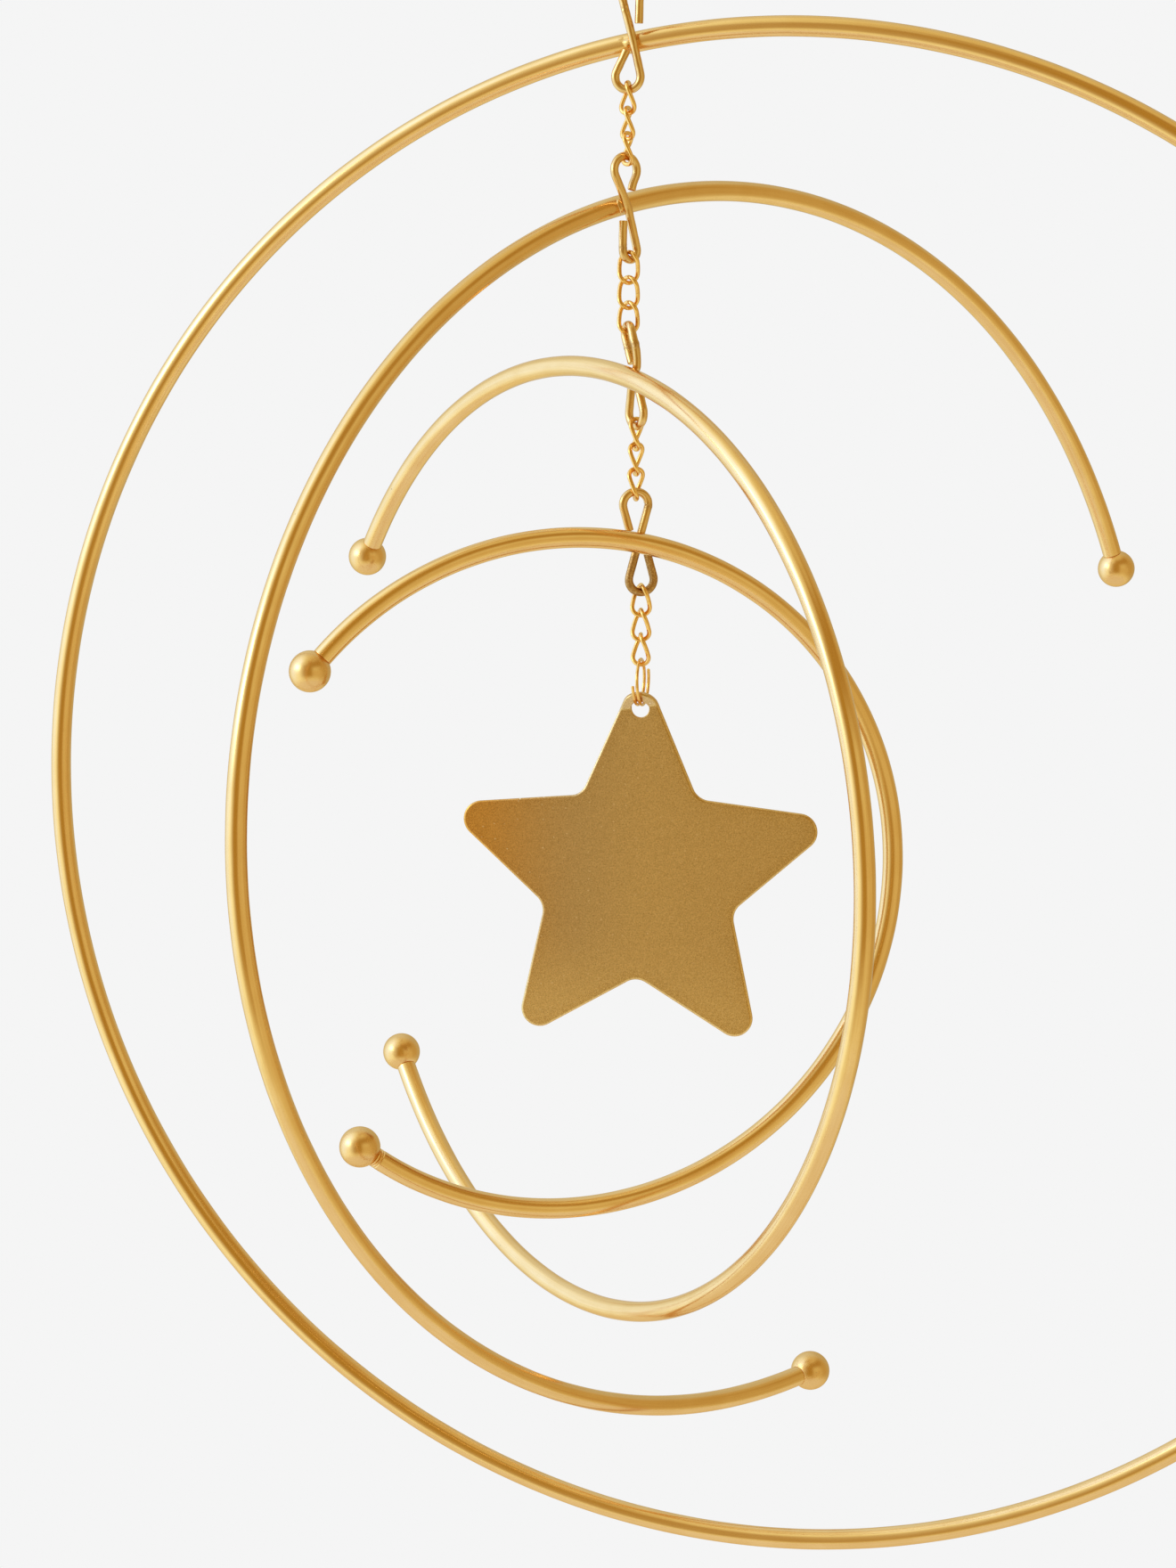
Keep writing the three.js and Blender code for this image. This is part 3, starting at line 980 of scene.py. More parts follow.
@dataclass(frozen=True)
class HookLoop:
    """One loop of a hook with its free end, measured from the hook's middle as if it were the upper one."""

    bow: float = 2.5 * MM
    end_reach: float = 1.6 * MM
    end_height: float = 2.4 * MM
    end_lean: float = 11.0
    end_straight: float = 1.2 * MM
    aside: float = 0.0
    knees: tuple[tuple[float, float], ...] = ()
    arc_steps: int = 60

    def bends(self, top: float, waist: float) -> Array:
        """Goes from the free end round the loop to the waist of the hook.

        The end goes straight for a short way at its own lean, then along the tangent to a circle, round the
        circle over the top, along the other tangent to the first knee, and on to the waist. Where the wire
        passes over the middle of the hook, it is as high as the top.

        Args:
            top: Height of the wire's middle at the top of the loop.
            waist: How far the spine passes beside the middle of the hook.

        Returns:
            Points (across, up) from the end to the waist.
        """
        middle = np.array([self.aside, top - np.sqrt(self.bow**2 - self.aside**2)])
        end = np.array([self.end_reach, self.end_height])
        lean = np.radians(self.end_lean)
        turn = end + self.end_straight * np.array([np.sin(lean), np.cos(lean)])
        spine = np.array([*self.knees, (waist, 0.0)])
        away = middle - np.stack([turn, spine[0]])
        slant = np.degrees(np.arctan2(away[:, 0], away[:, 1]))
        touch = np.degrees(np.arcsin(self.bow / np.linalg.norm(away, axis=1))) + 90.0
        degrees = np.linspace(slant[0] + touch[0], slant[1] - touch[1], self.arc_steps)
        return np.concatenate([[end, turn], on_circle(self.bow, degrees)[:, [0, 2]] + middle, spine])


@dataclass
class Hook:
    """An S hook of round wire with pear-shaped loops, a slanting spine and square-cut ends."""

    upper: HookLoop = HookLoop()
    lower: HookLoop = HookLoop()
    waist: float = 0.0
    twist: float = -4.0
    twist_span: tuple[float, float] = (2.0 * MM, 7.0 * MM)
    lift: float = 0.07 * MM
    worn: float = 0.0
    worn_span: tuple[float, float] = (1.0 * MM, 3.0 * MM)
    dents: tuple[tuple[float, float], ...] = ()
    dent_length: float = 0.7 * MM
    dent_wear: float = 0.6
    dent_ripple: Ripple = Ripple(0.05, 14, 0.7 * MM, 2.0 * MM)
    ripple: Ripple = Ripple(0.012, 10, 2.0 * MM, 9.0 * MM)
    softness: float = 0.7 * MM
    end_bevel: float = 0.09 * MM
    end_share: float = 0.9
    wire: float = 1.6 * MM
    length: float = 21.2 * MM
    width: float = 6.6 * MM
    spine_slope: float = 1.0 / 2.4
    stations: int = 420
    sides: int = 28

    @property
    def bow(self) -> float:
        """Radius of a loop to the middle of the wire."""
        return (self.width - self.wire) / 2.0

    @property
    def bow_height(self) -> float:
        """Middle of the hook to the middle of a loop."""
        return (self.length - self.wire) / 2.0 - self.bow

    def line(self) -> Line:
        """Bends the wire through both loops.

        The bends are cut into even stations, and each station is then the mean of its neighbours within the
        softness, weighted by a raised cosine, so that no bend is sharp. The upper loop is then twisted about
        the upright axis.

        Returns:
            The line with the middle of the upper loop at the origin and the hook plane's normal as its side.
        """
        top = (self.length - self.wire) / 2.0
        above = self.upper.bends(top + self.lift, self.waist)
        flat = np.concatenate([above, -self.lower.bends(top, -self.waist)[-2::-1]])
        length = np.concatenate([[0.0], np.cumsum(np.linalg.norm(np.diff(flat, axis=0), axis=1))])
        even = np.linspace(0.0, length[-1], self.stations)
        bent = np.stack([np.interp(even, length, flat[:, 0]), np.interp(even, length, flat[:, 1])], -1)
        reach = int(self.softness / even[1])
        weight = 1.0 + np.cos(np.pi * np.arange(-reach, reach + 1) / (reach + 1))
        before = 2.0 * bent[0] - bent[reach:0:-1]
        after = 2.0 * bent[-1] - bent[-2:-reach - 2:-1]
        long = np.concatenate([before, bent, after])
        smooth = np.stack([np.convolve(long[:, k], weight / weight.sum(), "valid") for k in (0, 1)], -1)
        run = np.sort(np.concatenate([even, [self.end_bevel, even[-1] - self.end_bevel]]))
        across, up = (np.interp(run, even, smooth[:, k]) for k in (0, 1))
        turn = np.radians(self.twist) * ease(up, *self.twist_span)
        points = np.stack([across * np.cos(turn), across * np.sin(turn), up - self.bow_height], -1)
        return Line.through(points, run, np.stack([-np.sin(turn), np.cos(turn), 0.0 * turn], -1))

    def skin(self, offset: float, seed: int) -> Skin:
        """The bent wire, with slight tool marks and cut ends.

        The radius is multiplied by one plus the ripple, and again by one plus the dents' own ripple times a
        bell at each dent.

        Args:
            offset: Where its stock starts.
            seed: Start of the random draw for the unevenness.

        Returns:
            The surface, with its wear at the dents and on the lower loop.
        """
        line = self.line()
        angle = full_turn(self.sides)
        radius = self.wire / 2.0 * (1.0 + self.ripple.over(seed, line.run, angle))
        bruise = np.zeros(len(line.run))
        for share, depth in self.dents:
            bruise += depth * bell(line.run, share * line.run[-1], self.dent_length)
        radius *= 1.0 + bruise[:, None] * self.dent_ripple.over(seed + DENT_DRAW, line.run, angle)
        radius[[0, -1]] *= self.end_share
        skin = line.skin(radius, self.sides, offset)
        start, full = self.worn_span
        low = self.worn * ease(-skin.points[:, 2], self.bow_height + start, self.bow_height + full)
        each = np.concatenate([np.repeat(bruise, self.sides), bruise[[0, -1]]])
        skin.wear = np.clip(low + self.dent_wear * each, 0.0, 1.0)
        return skin


@dataclass
class Rod:
    """Round rod with a ball on both ends, each held on a turned spigot."""

    diameter: float = 4.0 * MM
    ball: float = 8.0 * MM
    ball_flat: float = 3.8 * MM
    spigot: float = 2.2 * MM
    spigot_length: float = 2.6 * MM
    spigot_bevel: float = 0.15 * MM
    spigot_tip: float = 0.86
    chamfer: float = 0.07 * MM
    chamfer_crown: float = 0.45
    shoulder: float = 0.01 * MM
    neck: float = 1.6 * MM
    neck_stations: int = 30
    even_from: float = 2.0 * MM
    stations: int = 760
    sides: int = 40
    ball_pole: float = 0.02
    ball_edge: float = 0.04 * MM
    ball_bore_tip: float = 0.1 * MM
    ball_rings: int = 56
    ball_sides: int = 72
    ripple: Ripple = Ripple(0.0028, 12, 9.0 * MM, 60.0 * MM)
    fits: Fits = Fits()

    @property
    def seat(self) -> float:
        """Middle of a ball to its flat."""
        return np.sqrt(self.ball**2 - self.ball_flat**2) / 2.0

    @property
    def beyond(self) -> float:
        """Rod's end to the middle of its ball."""
        return self.seat + self.fits.seat

    @property
    def end_knots(self) -> Array:
        """Stations of a rod's end: the spigot's tip and bevel, then the shoulder and its broken edge.

        Returns:
            The run of each station, counted from the rod's nominal end.
        """
        face, tip, cut = -self.fits.seat, -self.spigot_length, self.chamfer
        spigot = [tip, tip + self.spigot_bevel, face - self.shoulder]
        return np.array([*spigot, face, face + cut / 3.0, face + cut])

    def ball_skin(self, offset: float) -> Skin:
        """A ball with a flat and a blind hole along +Z.

        The profile is a circle from the far pole to the flat, the flat with a broken edge, and the hole's
        wall and floor.

        Args:
            offset: Where its stock starts.

        Returns:
            The turned surface about the ball's middle.
        """
        radius = self.ball / 2.0
        hole = self.spigot / 2.0 + self.fits.seat
        floor = self.beyond - self.spigot_length - self.fits.seat
        angle = np.linspace(self.ball_pole, np.arccos(-self.seat / radius) - self.ball_pole, self.ball_rings)
        round_part = np.stack([radius * np.sin(angle), -radius * np.cos(angle)], -1)
        flat = self.ball_flat / 2.0 - self.ball_edge
        inner = [[flat, self.seat], [hole, self.seat], [hole, floor], [self.ball_bore_tip, floor]]
        return lathe(np.concatenate([round_part, inner]), self.ball_sides, offset)


@dataclass(frozen=True)
class Bead:
    """A weld bead: how far along the rod and into it its middle lies, and its half sizes along, in and up."""

    aside: float = -0.35 * MM
    sunk: float = 0.6 * MM
    size: tuple[float, float, float] = (1.4 * MM, 1.1 * MM, 1.2 * MM)
    lumps: float = 0.022
    lump_count: int = 9
    lump_pull: float = 2.4
    lump_phase: float = 6.28
    pole: float = 0.03
    rings: int = 56
    sides: int = 88

    def skin(self, offset: float, seed: int) -> Skin:
        """A flattened ball whose radius swells and sinks by a sum of slow sines of the way from its middle.

        Args:
            offset: Where its stock starts.
            seed: Start of the random draw.

        Returns:
            The lumpy surface about the place where hook and rod cross.
        """
        draw = np.random.default_rng(seed)
        lat = np.linspace(-np.pi / 2 + self.pole, np.pi / 2 - self.pole, self.rings)[:, None]
        lon = full_turn(self.sides)
        ways = directions(lat, lon)
        pull = draw.normal(size=(3, self.lump_count)) * self.lump_pull
        phase = draw.uniform(0.0, self.lump_phase, self.lump_count)
        uneven = np.sin(ways @ pull + phase).sum(-1) * self.lumps
        grid = ways * np.array(self.size) * (1.0 + uneven)[..., None]
        poles = grid[[0, -1]].mean(1)
        skin = skin_of(grid, grid + [offset, 0.0, 0.0], poles)
        skin.points = skin.points + [self.aside, self.sunk, 0.0]
        return skin


@dataclass
class OpenRing:
    """An open ring of rod that hangs by the hook on its rod."""

    name: str
    radius: float
    yaw: float
    weld: float
    upper_ball: float
    lower_ball: float
    lean: float
    hook_tilt: float
    weld_rise: float
    pitch: float = 0.0
    seed: int = 0
    grooves: tuple[float, ...] = ()
    groove_depth: float = 0.16 * MM
    groove_width: float = 0.11 * MM
    beads: tuple[Bead, ...] = (Bead(),)
    rod: Rod = field(default_factory=Rod)
    hook: Hook = field(default_factory=Hook)
    fits: Fits = Fits()

    def weld_spot(self) -> Array:
        """Where the hook's spine crosses the rod: up by the rise and aside by its slope times that, tilted.

        Returns:
            The middle of the hook's wire there, from the top of the hook.
        """
        hook = self.hook
        flat = np.array([-hook.spine_slope * self.weld_rise, 0.0, self.weld_rise - hook.bow_height])
        return turned(Axis.Y, self.hook_tilt) @ flat - [0.0, 0.0, hook.bow]

    def lower_loop(self) -> Array:
        """Middle of the hook's lowest wire, from the top of the hook."""
        flat = np.array([0.0, 0.0, -2.0 * self.hook.bow_height])
        return turned(Axis.Y, self.hook_tilt) @ flat - [0.0, 0.0, 2.0 * self.hook.bow]

    def rod_line(self) -> Line:
        """Bends the rod.

        The middle goes round a circle through the weld, from the lower ball to the upper one, and moves
        sideways by the pitch over a whole turn. Past both ends it goes straight on for the spigots.

        Returns:
            The line, with the circle plane's normal as its side, and the run counted from the lower end.
        """
        rod = self.rod
        inset = np.degrees(rod.beyond / self.radius)
        start, stop = self.lower_ball + inset - 360.0, self.upper_ball - inset
        slope = np.sqrt(1.0 + (self.pitch / (2.0 * np.pi * self.radius)) ** 2)
        length = np.radians(stop - start) * self.radius * slope
        end = rod.end_knots
        neck = np.linspace(end[-1] + 0.5 * rod.chamfer, rod.neck, rod.neck_stations)
        even = np.linspace(rod.even_from, length - rod.even_from, rod.stations)
        run = np.concatenate([end, neck, even, (length - neck)[::-1], (length - end)[::-1]])
        on_arc = np.clip(run, 0.0, length)
        degrees = start + (stop - start) * on_arc / length
        points = on_circle(self.radius, degrees)
        points[:, 1] = self.pitch * (degrees - self.weld) / 360.0
        tangent = on_circle(self.radius, degrees + 90.0)
        tangent[:, 1] = self.pitch / (2.0 * np.pi)
        tangent = unit(tangent)
        points = points + tangent * (run - on_arc)[:, None]
        middle = self.weld_spot() - on_circle(self.radius, self.weld)
        middle[1] = rod.diameter / 2.0 + self.hook.wire / 2.0 + self.fits.seat
        side = np.array([0.0, 1.0, 0.0]) - tangent * tangent[:, 1:2]
        return Line(points + middle, run, tangent, unit(side))

    def rod_radius(self, run: Array) -> Array:
        """The rod's radius: spigot, shoulder with a broken edge, rod, and the same at the far end.

        Args:
            run: Length along the rod of each station.

        Returns:
            The radius at each station, less a narrow bell at each groove by the lower end.
        """
        rod = self.rod
        full, thin = rod.diameter / 2.0, rod.spigot / 2.0
        length = run[0] + run[-1]
        near = np.minimum(run, length - run)
        edge, crown = full - rod.chamfer, full - rod.chamfer * rod.chamfer_crown
        radius = np.interp(near, rod.end_knots, [thin * rod.spigot_tip, thin, thin, edge, crown, full])
        for groove in self.grooves:
            radius -= self.groove_depth * bell(run, groove, self.groove_width)
        return radius

    def build(self, top: Array, fitted: Fitted) -> Hold:
        """Makes the rod, its balls, the hook and the weld.

        Args:
            top: The middle of the wire at the top of the hook.
            fitted: Takes the pieces.

        Returns:
            The hook's lower loop, which carries the next chain.
        """
        body = f"{self.name}_ring"
        own = Place(top, turned(Axis.Z, self.yaw) @ turned(Axis.X, -self.lean))
        line = self.rod_line()
        angle = full_turn(self.rod.sides)
        uneven = self.rod.ripple.over(self.seed + ROD_DRAW, line.run, angle)
        radius = self.rod_radius(line.run)[:, None] * (1.0 + uneven)
        skin = line.skin(radius, self.rod.sides, fitted.offset())
        fitted.fit(skin, own, f"{self.name}_rod_lacquered", ROD_LACQUER, body, Slot.ROD, f"{self.name}_rod")

        length = line.run[0] + line.run[-1]
        for label, run, way in (("upper", length, 1.0), ("lower", 0.0, -1.0)):
            station = int(np.argmin(np.abs(line.run - run)))
            along = line.along[station] * way
            rod_end = line.points[station] + along * (abs(run) - abs(line.run[station])) * way
            turn = np.array(Vector(-along).to_track_quat("Z", "Y").to_matrix())
            seat = own.inside(rod_end + along * self.rod.beyond, turn)
            skin = self.rod.ball_skin(fitted.offset())
            node = f"{self.name}_ball_{label}"
            fitted.fit(skin, seat, f"{node}_lacquered", BALL_LACQUER, body, Slot.BALL, node)

        bent = own.inside(np.array([0.0, 0.0, -self.hook.bow]), turned(Axis.Y, self.hook_tilt))
        skin = self.hook.skin(fitted.offset(), self.seed)
        fitted.fit(skin, bent, f"{self.name}_hook_wire", HOOK_LACQUER, body, Slot.HOOK, f"{self.name}_hook")

        laid = own.inside(self.weld_spot() + [0.0, self.hook.wire / 2.0, 0.0], turned(Axis.Y, self.weld))
        for number, bead in enumerate(self.beads, 1):
            skin = bead.skin(fitted.offset(), self.seed + BEAD_DRAW + number)
            fitted.fit(skin, laid, f"{self.name}_weld_bead_{number}", BRAZE, body, Slot.HOOK)
        return Hold(own.put(self.lower_loop()), self.hook.wire, self.yaw)


@dataclass
class StarRing:
    """The sprung ring of one and a half turns that carries the star."""

    wire: float = 0.8 * MM
    diameter: float = 9.7 * MM
    ends: tuple[float, float] = (-0.83, 0.735)
    pitch: float = 1.4 * MM
    drawn_wire: float = 0.62 * MM
    drawn_pitch: float = 0.86 * MM
    yaw: float = 77.3
    end_share: float = 0.84
    stations: int = 320
    sides: int = 18

    @property
    def middle(self) -> float:
        """Radius to the middle of the wire."""
        return (self.diameter - self.wire) / 2.0

    def build(self, top: Array, fitted: Fitted) -> None:
        """Winds the wire about the ring's axis, from one cut end past the bottom to the other.

        The wire goes round a circle and along its axis by the pitch for each turn.

        Args:
            top: The middle of the wire at the top of the ring.
            fitted: Takes the piece.
        """
        turn = np.linspace(*self.ends, self.stations)
        points = on_circle(self.middle, 360.0 * turn)
        points[:, 1] = self.drawn_pitch * turn
        length = 2.0 * np.pi * np.hypot(self.middle, self.drawn_pitch / (2.0 * np.pi))
        line = Line.through(points, turn * length, np.broadcast_to(np.array([0.0, 1.0, 0.0]), points.shape))
        radius = np.full(self.stations, self.drawn_wire / 2.0)
        radius[[0, -1]] *= self.end_share
        skin = line.skin(radius, self.sides, fitted.offset())
        place = Place(top - [0.0, 0.0, self.middle], turned(Axis.Z, self.yaw))
        fitted.fit(skin, place, "star_ring_wire", CHAIN_PLATING, "star_loop", Slot.CHAIN, "star_ring")


@dataclass
class Star:
    """The flat star, stamped from sheet, with a hole in its top point."""

    ring: StarRing
    points: int = 5
    thickness: float = 1.0 * MM
    point_radius: float = 42.3 * MM
    notch_radius: float = 19.65 * MM
    point_round: float = 3.6 * MM
    notch_round: float = 3.7 * MM
    hole_play: float = 0.69 * MM
    hole_depth: float = 3.6 * MM
    tilt: float = 0.5
    lift: float = 0.275 * MM
    front_roll: tuple[float, float] = (0.48 * MM, 0.28 * MM)
    back_roll: tuple[float, float] = (0.2 * MM, 0.16 * MM)
    bore_roll: tuple[float, float] = (0.18 * MM, 0.16 * MM)
    lug_bend: float = 30.0
    lug_curl: float = 0.6 * MM
    lug_slant: float = 0.16
    mesh_step: float = 1.1 * MM
    mesh_room: float = 0.55
    mesh_merge: float = 1e-7
    corner_steps: int = 18
    side_steps: int = 24
    rim_steps: int = 9
    bore_steps: int = 64
    rim_wear: float = 1.2 * MM
    rim_stride: int = 3
    fits: Fits = Fits()

    @property
    def hole(self) -> float:
        """Radius of the hole."""
        return (self.ring.pitch + self.ring.wire) / 2.0 + self.hole_play

    def outline(self) -> tuple[Array, Array]:
        """The star's outline in its own plane, with rounded corners.

        Each corner is an arc that touches both sides, from one touching point to the other.

        Returns:
            Points clockwise from the top, and the outward normal at each.
        """
        number = np.arange(2 * self.points)
        reach = np.where(number % 2 == 0, self.point_radius, self.notch_radius)
        rounds = np.where(number % 2 == 0, self.point_round, self.notch_round)
        corner = on_circle(reach, 180.0 / self.points * number)[:, [0, 2]]
        before = unit(np.roll(corner, 1, 0) - corner)
        after = unit(np.roll(corner, -1, 0) - corner)
        half = np.arccos(np.sum(before * after, -1)) / 2.0
        middle = corner + unit(before + after) * (rounds / np.sin(half))[:, None]
        start = corner + before * (rounds / np.tan(half))[:, None] - middle
        stop = corner + after * (rounds / np.tan(half))[:, None] - middle
        first = np.arctan2(start[:, 1], start[:, 0])
        sweep = (np.arctan2(stop[:, 1], stop[:, 0]) - first + np.pi) % (2.0 * np.pi) - np.pi
        share = np.linspace(0.0, 1.0, self.corner_steps)
        angle = first[:, None] + sweep[:, None] * share
        ways = np.stack([np.cos(angle), np.sin(angle)], -1)
        arcs = middle[:, None] + ways * rounds[:, None, None]
        outward = ways * np.where(number % 2 == 0, 1.0, -1.0)[:, None, None]
        gap = np.linspace(0.0, 1.0, self.side_steps + 1, endpoint=False)[1:]
        nexts = np.roll(arcs[:, 0], -1, 0)
        straight = arcs[:, -1:] + (nexts[:, None] - arcs[:, -1:]) * gap[None, :, None]
        level = np.broadcast_to(outward[:, -1:], straight.shape)
        points = np.concatenate([arcs, straight], 1).reshape(-1, 2)
        return points, np.concatenate([outward, level], 1).reshape(-1, 2)

    def hole_height(self) -> float:
        """Goes down by the hole's depth from the top of the rounded upper point.

        Returns:
            The height of the hole's middle over the star's middle.
        """
        reach = np.array([self.point_radius, self.notch_radius])
        corner = on_circle(reach, np.array([0.0, 180.0 / self.points]))
        arm = unit(corner[0] - corner[1])
        return self.point_radius - self.point_round * (1.0 / abs(arm[0]) - 1.0) - self.hole_depth

    def rim(
        self, loop: Array, outward: Array, front: tuple[float, float], back: tuple[float, float]
    ) -> Array:
        """Rolls a rounded edge round a loop.

        The rim is a quarter of an ellipse from the front face to the wall, and a quarter of another one from
        the wall to the back face. The front one is what the stamping die rolls over.

        Args:
            loop: Points of the outline.
            outward: Normals that point out of the sheet.
            front: How far the front ellipse reaches inwards and how deep it goes.
            back: The same for the back ellipse.

        Returns:
            Loop points by rim rings by (across, up, depth), with the front face's depth below zero.
        """
        half = self.thickness / 2.0
        quarter = np.linspace(0.0, np.pi / 2.0, self.rim_steps)
        away = np.concatenate([front[0] * (1.0 - np.sin(quarter)), back[0] * (1.0 - np.cos(quarter))])
        before = -half + front[1] * (1.0 - np.cos(quarter))
        behind = half - back[1] * (1.0 - np.sin(quarter))
        depth = np.concatenate([before, behind])
        flat = loop[:, None] - outward[:, None] * away[None, :, None]
        return np.concatenate([flat, np.broadcast_to(depth[None, :, None], flat.shape[:2] + (1,))], -1)

    def sheet(self, outer: Array, inner: Array) -> tuple[Array, Array]:
        """Fills the face between two loops with triangles.

        Args:
            outer: The face's outer loop.
            inner: The loop round the hole.

        Returns:
            Flat points, the two loops first, and triangles that turn anticlockwise seen with up above right.
        """
        low, high = outer.min(0), outer.max(0)
        across = np.arange(low[0], high[0], self.mesh_step)
        up = np.arange(low[1], high[1], self.mesh_step)
        grid = np.stack(np.meshgrid(across, up), -1)
        grid[1::2, :, 0] += self.mesh_step / 2.0
        grid = grid.reshape(-1, 2)
        edges = np.concatenate([outer, inner])
        near = np.sqrt(((grid[:, None] - edges[None]) ** 2).sum(-1)).min(1) > self.mesh_room * self.mesh_step
        flat = np.concatenate([edges, grid[near]])
        first, second = len(outer), len(inner)
        ring = np.stack([np.arange(first), np.roll(np.arange(first), -1)], -1)
        hole = first + np.stack([np.arange(second), np.roll(np.arange(second), -1)], -1)
        sharp = np.concatenate([ring, hole]).tolist()
        made = delaunay_2d_cdt(list(map(Vector, flat.tolist())), sharp, [], 0, self.mesh_merge)
        points, tris = np.array(list(map(tuple, made[0]))), np.array(made[2])
        middle = points[tris].mean(1)
        kept = self.within(middle, outer) & ~self.within(middle, inner)
        return points, tris[kept]

    @staticmethod
    def within(points: Array, loop: Array) -> Array:
        """Finds the points inside a loop: those whose level ray crosses it an odd number of times.

        Args:
            points: Flat points.
            loop: The loop's corners.

        Returns:
            Whether each point lies inside.
        """
        start, stop = loop[None], np.roll(loop, -1, 0)[None]
        x, y = points[:, :1], points[:, 1:]
        spans = (start[..., 1] > y) != (stop[..., 1] > y)
        rise = np.where(spans, stop[..., 1] - start[..., 1], 1.0)
        cut = start[..., 0] + (y - start[..., 1]) / rise * (stop[..., 0] - start[..., 0])
        return (spans & (x < cut)).sum(1) % 2 == 1

    def bent(self, flat: Array) -> Array:
        """Bends the lug forward above the middle of the hole.

        Over a short way above a slightly slanting line through the hole the sheet turns evenly to the full
        angle, and then it goes straight on.

        Args:
            flat: Points as (across, up, depth), with the middle of the hole at the origin.

        Returns:
            The bent points as (across, depth, up).
        """
        full = np.radians(self.lug_bend)
        above = flat[:, 1] - self.lug_slant * flat[:, 0]
        over = np.clip(above, 0.0, self.lug_curl)
        angle = full * over / self.lug_curl
        radius = self.lug_curl / full
        past = np.maximum(above - self.lug_curl, 0.0)
        rise = radius * np.sin(angle) + past * np.cos(angle)
        forward = radius * (1.0 - np.cos(angle)) + past * np.sin(angle)
        up = flat[:, 1] + np.where(above > 0.0, rise - above, 0.0)
        depth = flat[:, 2]
        return np.stack([flat[:, 0], depth * np.cos(angle) - forward, up + depth * np.sin(angle)], -1)

    @staticmethod
    def edge_index(first: int, count: int, start: int, shape: tuple[int, ...]) -> Array:
        """Numbers the points of a rolled edge.

        Args:
            first: Number of the loop's first point on the front face.
            count: Points on each face.
            start: Number of the first point between the faces.
            shape: Points round the loop and rings of the edge.

        Returns:
            Loop points by rings, from the front face's loop over the rings between to the back face's loop.
        """
        around, steps = shape[0], shape[1] - 2
        loop = first + np.arange(around)[:, None]
        between = start + np.arange(around * steps).reshape(around, steps)
        return np.concatenate([loop, between, count + loop], 1)

    def skin(self) -> Skin:
        """The whole plate: two faces filled with triangles, joined by a rolled edge outside and in the hole.

        Returns:
            The surface in the star's own frame, with its wear growing towards the rim.
        """
        loop, outward = self.outline()
        lift = self.hole_height()
        loop = loop - [0.0, lift]
        turn = full_turn(self.bore_steps)
        ways = np.stack([np.sin(turn), np.cos(turn)], -1)
        rim = self.rim(loop, outward, self.front_roll, self.back_roll)
        bore = self.rim(ways * self.hole, -ways, self.bore_roll, self.bore_roll)
        flat, tris = self.sheet(rim[:, 0, :2], bore[:, 0, :2])
        count = len(flat)
        half = self.thickness / 2.0
        front = np.concatenate([flat, np.full((count, 1), -half)], 1)
        back = np.concatenate([flat, np.full((count, 1), half)], 1)
        middle_rim = rim[:, 1:-1].reshape(-1, 3)
        middle_bore = bore[:, 1:-1].reshape(-1, 3)
        index_rim = self.edge_index(0, count, 2 * count, rim.shape)
        index_bore = self.edge_index(len(loop), count, 2 * count + len(middle_rim), bore.shape)
        ahead_rim, ahead_bore = np.roll(index_rim, -1, 0), np.roll(index_bore, -1, 0)
        outer = np.stack([index_rim[:, :-1], index_rim[:, 1:], ahead_rim[:, 1:], ahead_rim[:, :-1]], -1)
        inner = np.stack([index_bore[:, :-1], ahead_bore[:, :-1], ahead_bore[:, 1:], index_bore[:, 1:]], -1)
        quads = np.concatenate([outer.reshape(-1, 4), inner.reshape(-1, 4)])
        faces = np.concatenate([tris, tris[:, ::-1] + count])
        solid = np.concatenate([front, back, middle_rim, middle_bore])
        gap = np.sqrt(((solid[:, None, :2] - loop[None, ::self.rim_stride]) ** 2).sum(-1)).min(1)
        return Skin(self.bent(solid), quads, faces, solid, np.exp(-gap / self.rim_wear))

    def build(self, top: Array, fitted: Fitted) -> None:
        """Hangs the star on both lower turns of its ring, square to the ring.

        Args:
            top: The middle of the wire at the top of the star's ring.
            fitted: Takes the piece.
        """
        reach = self.hole - self.ring.wire / 2.0 - self.fits.running
        rise = np.sqrt(reach**2 - (self.ring.pitch / 2.0) ** 2)
        skin = self.skin()
        turn = turned(Axis.Z, self.ring.yaw - 90.0) @ turned(Axis.Y, self.tilt)
        place = Place(top - [0.0, 0.0, 2.0 * self.ring.middle + rise - self.lift], turn)
        fitted.fit(skin, place, "star_plate", STAR_PAINT, "star", Slot.STAR, "star")


@dataclass(frozen=True)
class Panel:
    """A soft-edged panel of the studio's walls; azimuth 0 is away from the viewer and 90 is to the right."""

    azimuths: tuple[float, float]
    elevations: tuple[float, float]
    edge: float
    colour: tuple[float, float, float]

    def cover(self, azimuth: Array, elevation: Array) -> Array:
        """How much of the wall the panel covers in each direction, from 0 to 1.

        Args:
            azimuth: Azimuth of each direction.
            elevation: Elevation of each direction.

        Returns:
            The product of four smooth steps, one at each side of the panel.
        """
        half = self.edge / 2.0
        middle = sum(self.azimuths) / 2.0
        reach = (self.azimuths[1] - self.azimuths[0]) / 2.0
        across = np.abs((azimuth - middle + 180.0) % 360.0 - 180.0)
        low, high = self.elevations
        upright = ease(elevation, low - half, low + half) * ease(-elevation, -high - half, -high + half)
        return upright * ease(-across, -reach - half, -reach + half)


